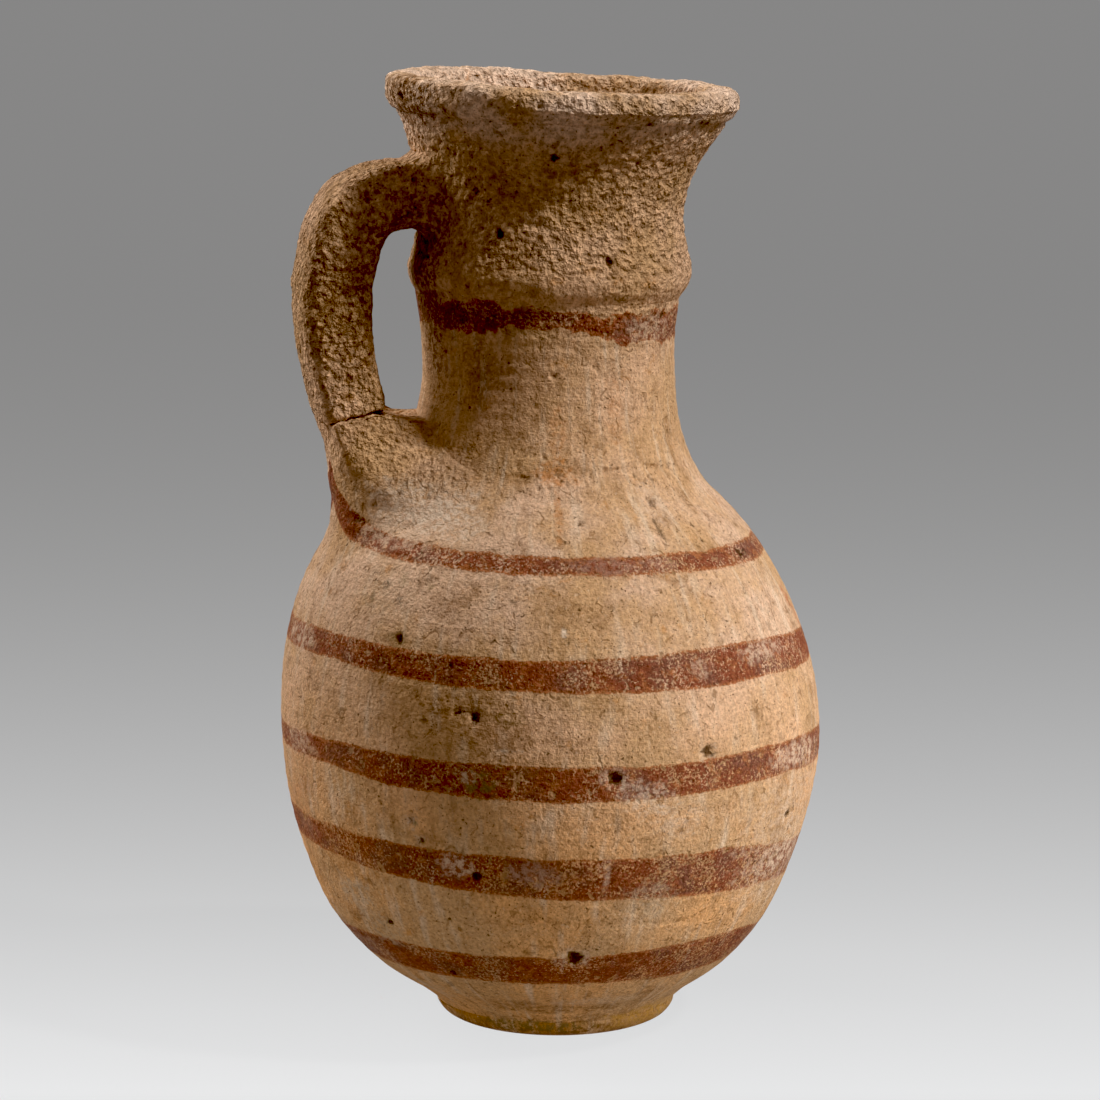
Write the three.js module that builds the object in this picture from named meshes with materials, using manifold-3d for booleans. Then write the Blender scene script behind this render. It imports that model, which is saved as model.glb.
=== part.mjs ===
// One-handled jug of fired clay with a ridged neck, painted with level bands of red-brown slip.
// Millimetres, +Z up. The origin is on the vessel's axis, at the flat face that the foot stands on.
// The handle lies along -X, so the jug is its own mirror image across the XZ plane.
import * as THREE from 'three';
import Module from 'manifold-3d';
import { mergeVertices } from 'three/addons/utils/BufferGeometryUtils.js';

// Heights of the pieces, stacked from the foot up
const FOOT_HEIGHT = 4.4;
const LOWER_BODY_HEIGHT = 63.6;
const UPPER_BODY_HEIGHT = 54;
const LOWER_NECK_HEIGHT = 42;
const RIDGE_HEIGHT = 8.5;
const UPPER_NECK_HEIGHT = 30.3;
const RIM_HEIGHT = 7.2;

// Outside radii, from the foot up
const FOOT_BASE_RADIUS = 20.5;
const FOOT_RADIUS = 27.5;
const BELLY_RADIUS = 60.5;
const SHOULDER_SEAM_RADIUS = 36.2;
const LOWER_WAIST_RADIUS = 27.9;
const RIDGE_FOOT_RADIUS = 29.3;
const RIDGE_RADIUS = 31.3;
const RIDGE_TOP_RADIUS = 30.5;
const UPPER_WAIST_RADIUS = 28.8;
const NECK_TOP_RADIUS = 36.3;
const LIP_RADIUS = 39.2;

// Walls, each measured level
const BODY_WALL = 6;
const SEAM_WALL = 8.5;
const NECK_WALL = 6;
const FLOOR_THICKNESS = 6;
const LIP_THICKNESS = 7;

// Handle: a strap with rounded edges, and the clay pad that carries its lower end
const HANDLE_REACH = 55.7;
const HANDLE_THICKNESS = 13.3;
const HANDLE_WIDTH = 20;
const HANDLE_ROOT_RISE = 13.8;
const HANDLE_BEND_DROP = 25.3;
const HANDLE_SEAT_RADIUS = 44.6;
const PAD_HEIGHT = 15;
const PAD_FOOT_REACH = 47.8;
const PAD_TOP_WIDTH = 21;
const PAD_FOOT_WIDTH = 38;

// Clay that was pressed together and then cut to shape keeps this much room in the model.
const CLEARANCE = 0.3;
const CUT_OVERRUN = 5;

// Shapes of the curves, as shares of the lengths and widths that they follow
const LOWER_WAIST_SHARE = 2 / 3;
const RIDGE_CREST_SHARE = 0.55;
const UPPER_WAIST_SHARE = 0.32;
const LIP_TURN_SHARE = 0.75;
const HANDLE_TOP_PULL_SHARE = 0.7;
const HANDLE_BEND_PULL_SHARE = 0.62;
const HANDLE_FOOT_PULL_SHARE = 0.45;
const HANDLE_FOOT_LEAN_SHARE = 0.33;
const HANDLE_FLARE_SHARE = 0.22;
const HANDLE_FLARE_GROWTH_SHARE = 0.35;
const HANDLE_ROOT_DEPTH_SHARE = 0.5;
const PAD_TAPER_SHARE = 0.4;

// Exponents of the formulas
const LOWER_NECK_FLARE = 2.6;
const UPPER_NECK_DIP = 1.6;
const UPPER_NECK_FLARE = 1.7;
const STRAP_SQUARENESS = 3;
const PAD_SQUARENESS = 2.3;

// Painted bands: [bottom, top] as shares of the stretch that each lies on
const BODY_BAND_SHARES = [
  [0.111, 0.179],
  [0.311, 0.371],
  [0.494, 0.555],
  [0.688, 0.743],
  [0.884, 0.918],
];
const NECK_BAND_SHARES = [[0.826, 0.971]];

// Colours of the clay and of the slip
const BODY_CLAY = '#c39a73';
const NECK_CLAY = '#b58a63';
const HANDLE_CLAY = '#a98058';
const FOOT_CLAY = '#b58a4f';
const RED_SLIP = '#8e4a31';
const CLAY_ROUGHNESS = 0.95;

// Steps round the axis, up an outline, along the handle and round its section
const STEPS_AROUND = 56;
const STEPS_UP = 8;
const STEPS_LIP = 10;
const STEPS_ALONG = 18;
const STEPS_SECTION = 20;

// Levels where one piece sits on the next
const FOOT_TOP = FOOT_HEIGHT;
const BELLY = FOOT_TOP + LOWER_BODY_HEIGHT;
const SHOULDER_SEAM = BELLY + UPPER_BODY_HEIGHT;
const RIDGE_FOOT = SHOULDER_SEAM + LOWER_NECK_HEIGHT;
const RIDGE_TOP = RIDGE_FOOT + RIDGE_HEIGHT;
const NECK_TOP = RIDGE_TOP + UPPER_NECK_HEIGHT;
const HANDLE_ROOT = RIDGE_TOP + HANDLE_ROOT_RISE;
const HANDLE_BEND = HANDLE_ROOT - HANDLE_BEND_DROP;
const HANDLE_SEAT = SHOULDER_SEAM + PAD_HEIGHT;

const SIDEWAYS = new THREE.Vector3(0, 1, 0);
const INWARD = new THREE.Vector3(1, 0, 0);
const DOWN = new THREE.Vector3(0, 0, -1);

const wasm = await Module();
wasm.setup();

const { lerp } = THREE.MathUtils;

// How far a height lies between two levels: 0 at the first and 1 at the second
function shareBetween(from, to, height) {
  return (height - from) / (to - from);
}

// The ellipse that is widest at share 0 and has shrunk to `narrow` at share 1
function ellipseRadius(wide, narrow, share) {
  const endSine = Math.sqrt(1 - (narrow / wide) ** 2);
  return wide * Math.sqrt(Math.max(0, 1 - (share * endSine) ** 2));
}

// The outside of each thrown piece: radius by height
function lowerBodyOutside(height) {
  return ellipseRadius(BELLY_RADIUS, FOOT_RADIUS, shareBetween(BELLY, FOOT_TOP, height));
}

function upperBodyOutside(height) {
  return ellipseRadius(BELLY_RADIUS, SHOULDER_SEAM_RADIUS, shareBetween(BELLY, SHOULDER_SEAM, height));
}

// The lower neck narrows from `seamRadius` to `waistRadius` and opens again under the ridge.
function lowerNeckCurve(height, seamRadius, waistRadius, topRadius) {
  const share = shareBetween(SHOULDER_SEAM, RIDGE_FOOT, height);
  if (share < LOWER_WAIST_SHARE) {
    const left = 1 - share / LOWER_WAIST_SHARE;
    return waistRadius + (seamRadius - waistRadius) * left ** LOWER_NECK_FLARE;
  }
  const risen = shareBetween(LOWER_WAIST_SHARE, 1, share);
  return waistRadius + (topRadius - waistRadius) * risen ** 2;
}

function lowerNeckOutside(height) {
  return lowerNeckCurve(height, SHOULDER_SEAM_RADIUS, LOWER_WAIST_RADIUS, RIDGE_FOOT_RADIUS);
}

function ridgeOutside(height) {
  const share = shareBetween(RIDGE_FOOT, RIDGE_TOP, height);
  const below = share < RIDGE_CREST_SHARE;
  const edgeRadius = below ? RIDGE_FOOT_RADIUS : RIDGE_TOP_RADIUS;
  const toCrest = below ? share / RIDGE_CREST_SHARE : shareBetween(1, RIDGE_CREST_SHARE, share);
  return lerp(edgeRadius, RIDGE_RADIUS, Math.sin((toCrest * Math.PI) / 2));
}

function upperNeckOutside(height) {
  const share = shareBetween(RIDGE_TOP, NECK_TOP, height);
  if (share < UPPER_WAIST_SHARE) {
    const left = 1 - share / UPPER_WAIST_SHARE;
    return UPPER_WAIST_RADIUS + (RIDGE_TOP_RADIUS - UPPER_WAIST_RADIUS) * left ** UPPER_NECK_DIP;
  }
  const risen = shareBetween(UPPER_WAIST_SHARE, 1, share);
  return UPPER_WAIST_RADIUS + (NECK_TOP_RADIUS - UPPER_WAIST_RADIUS) * risen ** UPPER_NECK_FLARE;
}

// The inside of each thrown piece
function lowerBodyInside(height) {
  const floor = FOOT_TOP + FLOOR_THICKNESS;
  return ellipseRadius(BELLY_RADIUS - BODY_WALL, 0, shareBetween(BELLY, floor, height));
}

function upperBodyInside(height) {
  const wide = BELLY_RADIUS - BODY_WALL;
  const narrow = SHOULDER_SEAM_RADIUS - SEAM_WALL;
  return ellipseRadius(wide, narrow, shareBetween(BELLY, SHOULDER_SEAM, height));
}

function lowerNeckInside(height) {
  const seamRadius = SHOULDER_SEAM_RADIUS - SEAM_WALL;
  return lowerNeckCurve(
    height,
    seamRadius,
    LOWER_WAIST_RADIUS - NECK_WALL,
    RIDGE_FOOT_RADIUS - NECK_WALL,
  );
}

function ridgeInside(height) {
  const share = shareBetween(RIDGE_FOOT, RIDGE_TOP, height);
  return lerp(RIDGE_FOOT_RADIUS, RIDGE_TOP_RADIUS, share) - NECK_WALL;
}

function upperNeckInside(height) {
  return upperNeckOutside(height) - NECK_WALL;
}

// Levels of the edges of every painted band
function bandLevels() {
  const body = BODY_BAND_SHARES.map((shares) => shares.map((s) => lerp(FOOT_TOP, SHOULDER_SEAM, s)));
  const neck = NECK_BAND_SHARES.map((shares) => shares.map((s) => lerp(SHOULDER_SEAM, RIDGE_FOOT, s)));
  return [...body, ...neck];
}

// Heights from one level to another, closest together near `to`, where an ellipse turns fastest
function turningHeights(from, to, narrowShare) {
  const end = Math.acos(narrowShare);
  const heights = [];
  for (let step = 0; step <= STEPS_UP; step += 1) {
    heights.push(lerp(from, to, Math.sin((end * step) / STEPS_UP) / Math.sin(end)));
  }
  return heights;
}

function evenHeights(from, to) {
  const heights = [];
  for (let step = 0; step <= STEPS_UP; step += 1) {
    heights.push(lerp(from, to, step / STEPS_UP));
  }
  return heights;
}

// Rows at the edges of the bands let the paint end on an edge of the mesh.
function withBandRows(heights) {
  const low = Math.min(...heights);
  const high = Math.max(...heights);
  const rows = bandLevels().flat().filter((level) => level > low && level < high);
  return [...heights, ...rows].sort((a, b) => a - b);
}

function shoulderHeights() {
  return turningHeights(BELLY, SHOULDER_SEAM, SHOULDER_SEAM_RADIUS / BELLY_RADIUS);
}

function outline(heights, radiusAt) {
  return heights.map((height) => new THREE.Vector2(radiusAt(height), height));
}

// A solid of revolution about +Z from an outline of (radius, height) points
function revolve(points) {
  const geometry = new THREE.LatheGeometry(points, STEPS_AROUND);
  geometry.rotateX(Math.PI / 2);
  return geometry;
}

// A thrown ring: its outside outline going up, then its inside outline going down
function ringSolid(outside, inside) {
  return revolve([...outside, ...inside.reverse(), outside[0].clone()]);
}

function footSolid() {
  const points = [new THREE.Vector2(0, 0)];
  for (let step = 0; step <= STEPS_UP; step += 1) {
    const turn = (Math.PI / 2) * (step / STEPS_UP);
    const radius = lerp(FOOT_BASE_RADIUS, FOOT_RADIUS, Math.sin(turn));
    points.push(new THREE.Vector2(radius, FOOT_HEIGHT * (1 - Math.cos(turn))));
  }
  points.push(new THREE.Vector2(0, FOOT_TOP));
  return revolve(points);
}

function lowerBodySolid() {
  const outsideHeights = turningHeights(BELLY, FOOT_TOP, FOOT_RADIUS / BELLY_RADIUS);
  const insideHeights = turningHeights(BELLY, FOOT_TOP + FLOOR_THICKNESS, 0);
  return revolve([
    new THREE.Vector2(0, FOOT_TOP),
    ...outline(withBandRows(outsideHeights), lowerBodyOutside),
    ...outline(insideHeights, lowerBodyInside),
  ]);
}

function upperBodySolid() {
  const outside = outline(withBandRows(shoulderHeights()), upperBodyOutside);
  return ringSolid(outside, outline(shoulderHeights(), upperBodyInside));
}

function lowerNeckSolid() {
  const heights = evenHeights(SHOULDER_SEAM, RIDGE_FOOT);
  const outside = outline(withBandRows(heights), lowerNeckOutside);
  return ringSolid(outside, outline(heights, lowerNeckInside));
}

function ridgeSolid() {
  const ends = [RIDGE_FOOT, RIDGE_TOP];
  return ringSolid(outline(evenHeights(...ends), ridgeOutside), outline(ends, ridgeInside));
}

function upperNeckSolid() {
  const heights = evenHeights(RIDGE_TOP, NECK_TOP);
  return ringSolid(outline(heights, upperNeckOutside), outline(heights, upperNeckInside));
}

// The lip is a thick ellipse in section that overhangs the neck's top and rolls over into the mouth.
function lipPoints() {
  const centreRadius = LIP_RADIUS - LIP_THICKNESS / 2;
  const centreHeight = NECK_TOP + RIM_HEIGHT / 2;
  const start = (-Math.PI / 2) * (1 - LIP_TURN_SHARE / 2);
  const points = [];
  for (let step = 0; step <= STEPS_LIP; step += 1) {
    const turn = lerp(start, Math.PI, step / STEPS_LIP);
    const radius = centreRadius + (LIP_THICKNESS / 2) * Math.cos(turn);
    points.push(new THREE.Vector2(radius, centreHeight + (RIM_HEIGHT / 2) * Math.sin(turn)));
  }
  return points;
}

function rimSolid() {
  const seatInside = new THREE.Vector2(NECK_TOP_RADIUS - NECK_WALL, NECK_TOP);
  const seatOutside = new THREE.Vector2(NECK_TOP_RADIUS, NECK_TOP);
  return revolve([seatInside, seatOutside, ...lipPoints(), seatInside.clone()]);
}

// A closed solid through rings of as many points each, all wound alike
function loftSolid(rings) {
  const sides = rings[0].length;
  const corners = rings.flat();
  const faces = [];
  for (let ring = 0; ring < rings.length - 1; ring += 1) {
    for (let side = 0; side < sides; side += 1) {
      const here = ring * sides + side;
      const next = ring * sides + ((side + 1) % sides);
      faces.push(here, next, next + sides, here, next + sides, here + sides);
    }
  }
  const lastRing = (rings.length - 1) * sides;
  for (let side = 1; side < sides - 1; side += 1) {
    faces.push(0, side + 1, side);
    faces.push(lastRing, lastRing + side, lastRing + side + 1);
  }
  const geometry = new THREE.BufferGeometry().setFromPoints(corners);
  geometry.setIndex(faces);
  return geometry;
}

// A rounded rectangle about `centre`, `across` wide and `along` deep in its two unit directions.
// A squareness of 2 is an ellipse, and more is squarer.
function roundedRing(centre, squareness, acrossDirection, across, alongDirection, along) {
  const ring = [];
  for (let side = 0; side < STEPS_SECTION; side += 1) {
    const turn = (2 * Math.PI * side) / STEPS_SECTION;
    const cosine = Math.cos(turn);
    const sine = Math.sin(turn);
    const bulge = (Math.abs(cosine) ** squareness + Math.abs(sine) ** squareness) ** (-1 / squareness);
    ring.push(
      centre
        .clone()
        .addScaledVector(acrossDirection, (across / 2) * bulge * cosine)
        .addScaledVector(alongDirection, (along / 2) * bulge * sine),
    );
  }
  return ring;
}

// The direction in which the strap reaches its seat, and the middle of the seat
function seatDirection() {
  return new THREE.Vector3(HANDLE_FOOT_LEAN_SHARE, 0, -1).normalize();
}

function seatPoint() {
  return new THREE.Vector3(-HANDLE_SEAT_RADIUS, 0, HANDLE_SEAT);
}

// Where the middle of the strap runs: out of the neck, over the bend and down to its seat on the pad
function handlePath() {
  const rootRadius = UPPER_WAIST_RADIUS - NECK_WALL * HANDLE_ROOT_DEPTH_SHARE;
  const bendRadius = HANDLE_REACH - HANDLE_THICKNESS / 2;
  const root = new THREE.Vector3(-rootRadius, 0, HANDLE_ROOT);
  const bend = new THREE.Vector3(-bendRadius, 0, HANDLE_BEND);
  const seat = seatPoint();
  const rootPull = new THREE.Vector3(lerp(root.x, bend.x, HANDLE_TOP_PULL_SHARE), 0, HANDLE_ROOT);
  const bendPull = bend.clone().setZ(lerp(HANDLE_BEND, HANDLE_ROOT, HANDLE_BEND_PULL_SHARE));
  const fallPull = bend.clone().setZ(lerp(HANDLE_BEND, HANDLE_SEAT, HANDLE_FOOT_PULL_SHARE));
  const fall = HANDLE_BEND - HANDLE_SEAT;
  const seatPull = seat.clone().addScaledVector(seatDirection(), -fall * HANDLE_FOOT_PULL_SHARE);
  const path = new THREE.CurvePath();
  path.add(new THREE.CubicBezierCurve3(root, rootPull, bendPull, bend));
  path.add(new THREE.CubicBezierCurve3(bend, fallPull, seatPull, seat));
  return path;
}

// The strap is thickest where it leaves the neck.
function handleSweep() {
  const path = handlePath();
  const rings = [];
  for (let step = 0; step <= STEPS_ALONG; step += 1) {
    const share = step / STEPS_ALONG;
    const tangent = path.getTangentAt(share).normalize();
    const normal = new THREE.Vector3().crossVectors(tangent, SIDEWAYS);
    const flare = Math.max(0, 1 - share / HANDLE_FLARE_SHARE) ** 2;
    const growth = 1 + flare * HANDLE_FLARE_GROWTH_SHARE;
    const width = HANDLE_WIDTH * growth;
    const thickness = HANDLE_THICKNESS * growth;
    const centre = path.getPointAt(share);
    rings.push(roundedRing(centre, STRAP_SQUARENESS, SIDEWAYS, width, normal, thickness));
  }
  return loftSolid(rings);
}

// The level at which the shoulder is as wide as `radius`
function shoulderLevel(radius) {
  const endSine = Math.sqrt(1 - (SHOULDER_SEAM_RADIUS / BELLY_RADIUS) ** 2);
  const sine = Math.sqrt(1 - (radius / BELLY_RADIUS) ** 2);
  return lerp(BELLY, SHOULDER_SEAM, sine / endSine);
}

// The pad fills the corner between the neck and the handle's foot, and spreads down the shoulder.
function padBlock() {
  const direction = seatDirection();
  const topReach = HANDLE_SEAT_RADIUS - (HANDLE_THICKNESS / 2) * direction.z;
  const top = HANDLE_SEAT + (HANDLE_THICKNESS / 2) * direction.x;
  const bottom = shoulderLevel(PAD_FOOT_REACH) - CUT_OVERRUN;
  const innerReach = LOWER_WAIST_RADIUS - NECK_WALL;
  const rings = [];
  for (let step = 0; step <= STEPS_UP; step += 1) {
    const share = step / STEPS_UP;
    const reach = lerp(topReach, PAD_FOOT_REACH, Math.min(1, share / PAD_TAPER_SHARE));
    const centre = new THREE.Vector3(-(reach + innerReach) / 2, 0, lerp(top, bottom, share));
    const width = lerp(PAD_TOP_WIDTH, PAD_FOOT_WIDTH, share);
    rings.push(roundedRing(centre, PAD_SQUARENESS, SIDEWAYS, width, INWARD, reach - innerReach));
  }
  return loftSolid(rings);
}

// The outside of the vessel above the belly, grown by the clearance: it cuts what is pressed onto it.
function vesselEnvelope() {
  const outside = [
    ...outline(shoulderHeights(), upperBodyOutside),
    ...outline(evenHeights(SHOULDER_SEAM, RIDGE_FOOT), lowerNeckOutside),
    ...outline(evenHeights(RIDGE_FOOT, RIDGE_TOP), ridgeOutside),
    ...outline(evenHeights(RIDGE_TOP, NECK_TOP), upperNeckOutside),
  ];
  const grown = outside.map((point, index) => {
    const before = outside[Math.max(0, index - 1)];
    const after = outside[Math.min(outside.length - 1, index + 1)];
    const slope = after.clone().sub(before).normalize();
    return new THREE.Vector2(point.x + slope.y * CLEARANCE, point.y - slope.x * CLEARANCE);
  });
  return revolve([new THREE.Vector2(0, grown[0].y), ...grown, new THREE.Vector2(0, grown.at(-1).y)]);
}

// A block on the handle's side of its seat: it cuts the pad flat, a clearance below the strap's end.
function seatBlock() {
  const direction = seatDirection();
  const block = new THREE.BoxGeometry(HANDLE_REACH, HANDLE_REACH, HANDLE_REACH);
  block.applyQuaternion(new THREE.Quaternion().setFromUnitVectors(DOWN, direction));
  const middle = seatPoint().addScaledVector(direction, CLEARANCE - HANDLE_REACH / 2);
  block.translate(middle.x, middle.y, middle.z);
  return block;
}

function toManifold(geometry) {
  const bare = geometry.clone();
  bare.deleteAttribute('normal');
  bare.deleteAttribute('uv');
  const merged = mergeVertices(bare);
  const mesh = new wasm.Mesh({
    numProp: 3,
    vertProperties: new Float32Array(merged.attributes.position.array),
    triVerts: new Uint32Array(merged.index.array),
  });
  return new wasm.Manifold(mesh);
}

function fromManifold(solid) {
  const mesh = solid.getMesh();
  const geometry = new THREE.BufferGeometry();
  geometry.setAttribute('position', new THREE.BufferAttribute(mesh.vertProperties, mesh.numProp));
  geometry.setIndex(new THREE.BufferAttribute(mesh.triVerts, 1));
  geometry.computeVertexNormals();
  return geometry;
}

function cutBy(geometry, ...cutters) {
  const solid = cutters.reduce((left, cutter) => left.subtract(toManifold(cutter)), toManifold(geometry));
  return fromManifold(solid);
}

function clayMaterial(colour) {
  return new THREE.MeshStandardMaterial({ color: colour, roughness: CLAY_ROUGHNESS, metalness: 0 });
}

function clayPiece(name, geometry, colour) {
  const mesh = new THREE.Mesh(geometry, clayMaterial(colour));
  mesh.name = name;
  return mesh;
}

// A thrown piece with its bands: each triangle of the outside takes the clay's colour or the slip's.
function paintedPiece(name, geometry, outsideAt) {
  const flat = geometry.toNonIndexed();
  const places = flat.attributes.position;
  const colours = new Float32Array(places.count * places.itemSize);
  const clay = new THREE.Color(BODY_CLAY);
  const slip = new THREE.Color(RED_SLIP);
  const corners = [new THREE.Vector3(), new THREE.Vector3(), new THREE.Vector3()];
  const middle = new THREE.Vector3();
  for (let first = 0; first < places.count; first += corners.length) {
    corners.forEach((corner, index) => corner.fromBufferAttribute(places, first + index));
    new THREE.Triangle(...corners).getMidpoint(middle);
    const onBand = bandLevels().some(([low, high]) => middle.z > low && middle.z < high);
    const outside = Math.hypot(middle.x, middle.y) > outsideAt(middle.z) - NECK_WALL / 2;
    const colour = onBand && outside ? slip : clay;
    corners.forEach((_, index) => colour.toArray(colours, (first + index) * places.itemSize));
  }
  flat.setAttribute('color', new THREE.BufferAttribute(colours, places.itemSize));
  const mesh = clayPiece(name, flat, '#ffffff');
  mesh.material.vertexColors = true;
  return mesh;
}

const jug = new THREE.Group();
jug.add(
  clayPiece('foot', footSolid(), FOOT_CLAY),
  paintedPiece('lower_body', lowerBodySolid(), lowerBodyOutside),
  paintedPiece('upper_body', upperBodySolid(), upperBodyOutside),
  paintedPiece('lower_neck', lowerNeckSolid(), lowerNeckOutside),
  clayPiece('neck_ridge', ridgeSolid(), NECK_CLAY),
  clayPiece('upper_neck', upperNeckSolid(), NECK_CLAY),
  clayPiece('rim', rimSolid(), NECK_CLAY),
  clayPiece('handle', cutBy(handleSweep(), vesselEnvelope()), HANDLE_CLAY),
  clayPiece('handle_pad', cutBy(padBlock(), vesselEnvelope(), seatBlock()), HANDLE_CLAY),
);

export default jug;
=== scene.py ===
"""The looks of a one-handled jug of fired clay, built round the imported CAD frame.

Lengths are millimetres until a mesh is made. A bearing is an angle in degrees round the jug's axis as the
camera sees it: 180 is the left edge, 270 the front and 360 the right edge. Every piece is shaped upright,
and lean() then moves it the way the real jug sagged while it was soft.
"""
import itertools
import math

import bpy
import numpy as np
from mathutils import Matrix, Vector


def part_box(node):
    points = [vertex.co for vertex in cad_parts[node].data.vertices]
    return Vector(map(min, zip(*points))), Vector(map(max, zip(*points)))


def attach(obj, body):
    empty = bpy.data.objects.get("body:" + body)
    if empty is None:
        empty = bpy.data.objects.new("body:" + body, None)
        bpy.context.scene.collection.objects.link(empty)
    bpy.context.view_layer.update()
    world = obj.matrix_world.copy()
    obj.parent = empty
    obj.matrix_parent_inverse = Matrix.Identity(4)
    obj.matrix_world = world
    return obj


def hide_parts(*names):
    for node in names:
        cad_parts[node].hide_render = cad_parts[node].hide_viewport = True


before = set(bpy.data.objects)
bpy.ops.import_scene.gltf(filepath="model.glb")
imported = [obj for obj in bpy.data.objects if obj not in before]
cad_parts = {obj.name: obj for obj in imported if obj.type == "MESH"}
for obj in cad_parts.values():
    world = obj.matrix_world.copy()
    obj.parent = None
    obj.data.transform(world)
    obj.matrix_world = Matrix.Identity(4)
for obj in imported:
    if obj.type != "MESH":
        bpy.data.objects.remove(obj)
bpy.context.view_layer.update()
MM = 0.001


def cad_low(node):
    return np.array(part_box(node)[0]) / MM


def cad_high(node):
    return np.array(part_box(node)[1]) / MM


# Levels and radii that the frame gives
FOOT_TOP = cad_high("foot")[2]
BELLY = cad_high("lower_body")[2]
SHOULDER_SEAM = cad_high("upper_body")[2]
RIDGE_FOOT = cad_high("lower_neck")[2]
RIDGE_TOP = cad_high("neck_ridge")[2]
NECK_TOP = cad_high("upper_neck")[2]
RIM_TOP = cad_high("rim")[2]
FOOT_RADIUS = cad_high("foot")[1]
BELLY_RADIUS = cad_high("lower_body")[1]
SEAM_RADIUS = cad_high("lower_neck")[1]
RIDGE_RADIUS = cad_high("neck_ridge")[1]
NECK_TOP_RADIUS = cad_high("upper_neck")[1]
LIP_RADIUS = cad_high("rim")[1]
HANDLE_REACH = -cad_low("handle")[0]

# Radii and walls between those
FOOT_BASE_RADIUS = 20.5
LOWER_WAIST_RADIUS = 27.9
RIDGE_FOOT_RADIUS = 29.3
RIDGE_TOP_RADIUS = 30.5
UPPER_WAIST_RADIUS = 28.8
BODY_WALL = 6
SEAM_WALL = 8.5
NECK_WALL = 6
FLOOR_THICKNESS = 6
LIP_THICKNESS = 7
FLOOR = FOOT_TOP + FLOOR_THICKNESS

# The outline's curves: where each waist lies, and how sharply the neck flares below and above it
LOWER_WAIST_SHARE = 2 / 3
LOWER_NECK_POWERS = (2.6, 2)
UPPER_WAIST_SHARE = 0.32
UPPER_NECK_POWERS = (1.6, 1.7)
RIDGE_CREST_SHARE = 0.55
FOOT_TUCK = 2.1
FOOT_TUCK_HEIGHT = 8
FOOT_TUCK_REACH = 4
BOWL_FULLNESS = 0.9
BOWL_FULLEST = 25
BOWL_FULL_REACH = 9
OUTLINE_SOFTNESS = 1.1

# The lip's section: a rounded oblong on the funnel's edge, with a slope down into the mouth
LIP_CREASE = (36.6, 203.6)
LIP_HALF_HEIGHT = 3.5
LIP_SQUARENESS = 3
LIP_WEAR = 0.3
LIP_START = math.radians(-70)
LIP_END = math.radians(150)
LIP_LIFT = 1
LIP_LIFT_SPREAD = 0.6
LIP_NARROWING = 1.5
RIM_SEAT_FADE = 1.2

# The crease under the lip: how deep it is cut, how widely and where
UNDERCUT = 0.9
UNDERCUT_REACH = 1.5
UNDERCUT_OUTWARD = 0.3
UNDERCUT_RISE = 0.6
UNDERCUT_BEARINGS = (292, 336)
UNDERCUT_FADE = 15
UNDERCUT_STRENGTHS = (0.15, 0.6, 2)

# The handle and its pad
HANDLE_THICKNESS = 15.8
HANDLE_FULLNESS = 0.8
HANDLE_WIDTH = 20
HANDLE_ROOT = 185.5
HANDLE_BEND = 161
HANDLE_SEAT = 137
HANDLE_SEAT_RADIUS = 45.1
HANDLE_TOP_PULL_SHARE = 0.81
HANDLE_BEND_PULL_SHARE = 0.84
HANDLE_FOOT_PULL_SHARE = 0.45
HANDLE_FOOT_LEAN_SHARE = 0.29
HANDLE_SWELLS = ((0, 0.87), (0.3, 1), (0.6, 1), (0.8, 0.95), (1, 0.91))
STRAP_SQUARENESS = 5
PAD_LEVEL = 136.2
PAD_HEEL_RISE = 1.3
PAD_REACHES = ((98, 49.5), (111, 47.5), (116, 48.1), (121, 49.1), (129, 49.6), (134, 50.8), (139, 52.2))
PAD_TOP_WIDTH = 21
PAD_FOOT_WIDTH = 50
PAD_ROUNDNESS = 2.2
PAD_BOTTOM = 98
PAD_EDGE = 2.6
PAD_LEAST_EDGE = 0.3
PAD_EDGE_REACHES = (36, 40)
PAD_CORNER = 3.5
PAD_SQUARE_LEVEL = 121
PAD_SHRINK = 9
PAD_SHRINK_LEVELS = (PAD_LEVEL - 9, PAD_LEVEL + 3)
PAD_SHRINK_REACHES = (33, 38)
PAD_HEEL_FILLET = 1.2
PAD_HEEL_REACHES = (36, 39.5)
PAD_SPREAD = 62
PAD_SINK = 0.3
PAD_CLEAR = 2
PAD_GRIT_SHARE = 0.6
PAD_GRIT_LEVELS = (112, 132)
LEAST_SINE = 0.01
WALL_BLENDS = ((98, 3), (110, 6), (120, 10), (128, 9), (PAD_LEVEL, 4.5))
FILLET_RADIUS = 4.3

# The crack between strap and pad, which closes on the side away from the neck
CRACK_WIDTH = 0.75
CRACK_DEPTH = 0.6
CRACK_STRENGTHS = (0.25, 1.8)
CRACK_CLOSING_SHARE = 0.75
CRACK_CLOSING_REACHES = (HANDLE_SEAT_RADIUS + 2, HANDLE_SEAT_RADIUS + 5)
CRACK_JAGS = 0.9
CRACK_JAG_REACH = 5
PAD_CRACK_GAP = 5
PAD_CRACK_REACHES = (36, 39)

# How the jug leans: the camera's right side sinks, and the axis sways along the camera's right
VIEW_TURN = math.radians(15)
TILT_SHARE = 0.04
TILT_START = 43
TILT_FULL = 107
SWAYS = (
    (0, 1.6), (8, 1), (27, 0), (60, 0.2), (95, -0.7), (123, -0.9), (145, -0.3), (157, -0.8), (165, -0.8),
    (171, 0.2), (186, 0.4), (193, 0.9), (200, 2.4), (206, 2.8),
)

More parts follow.
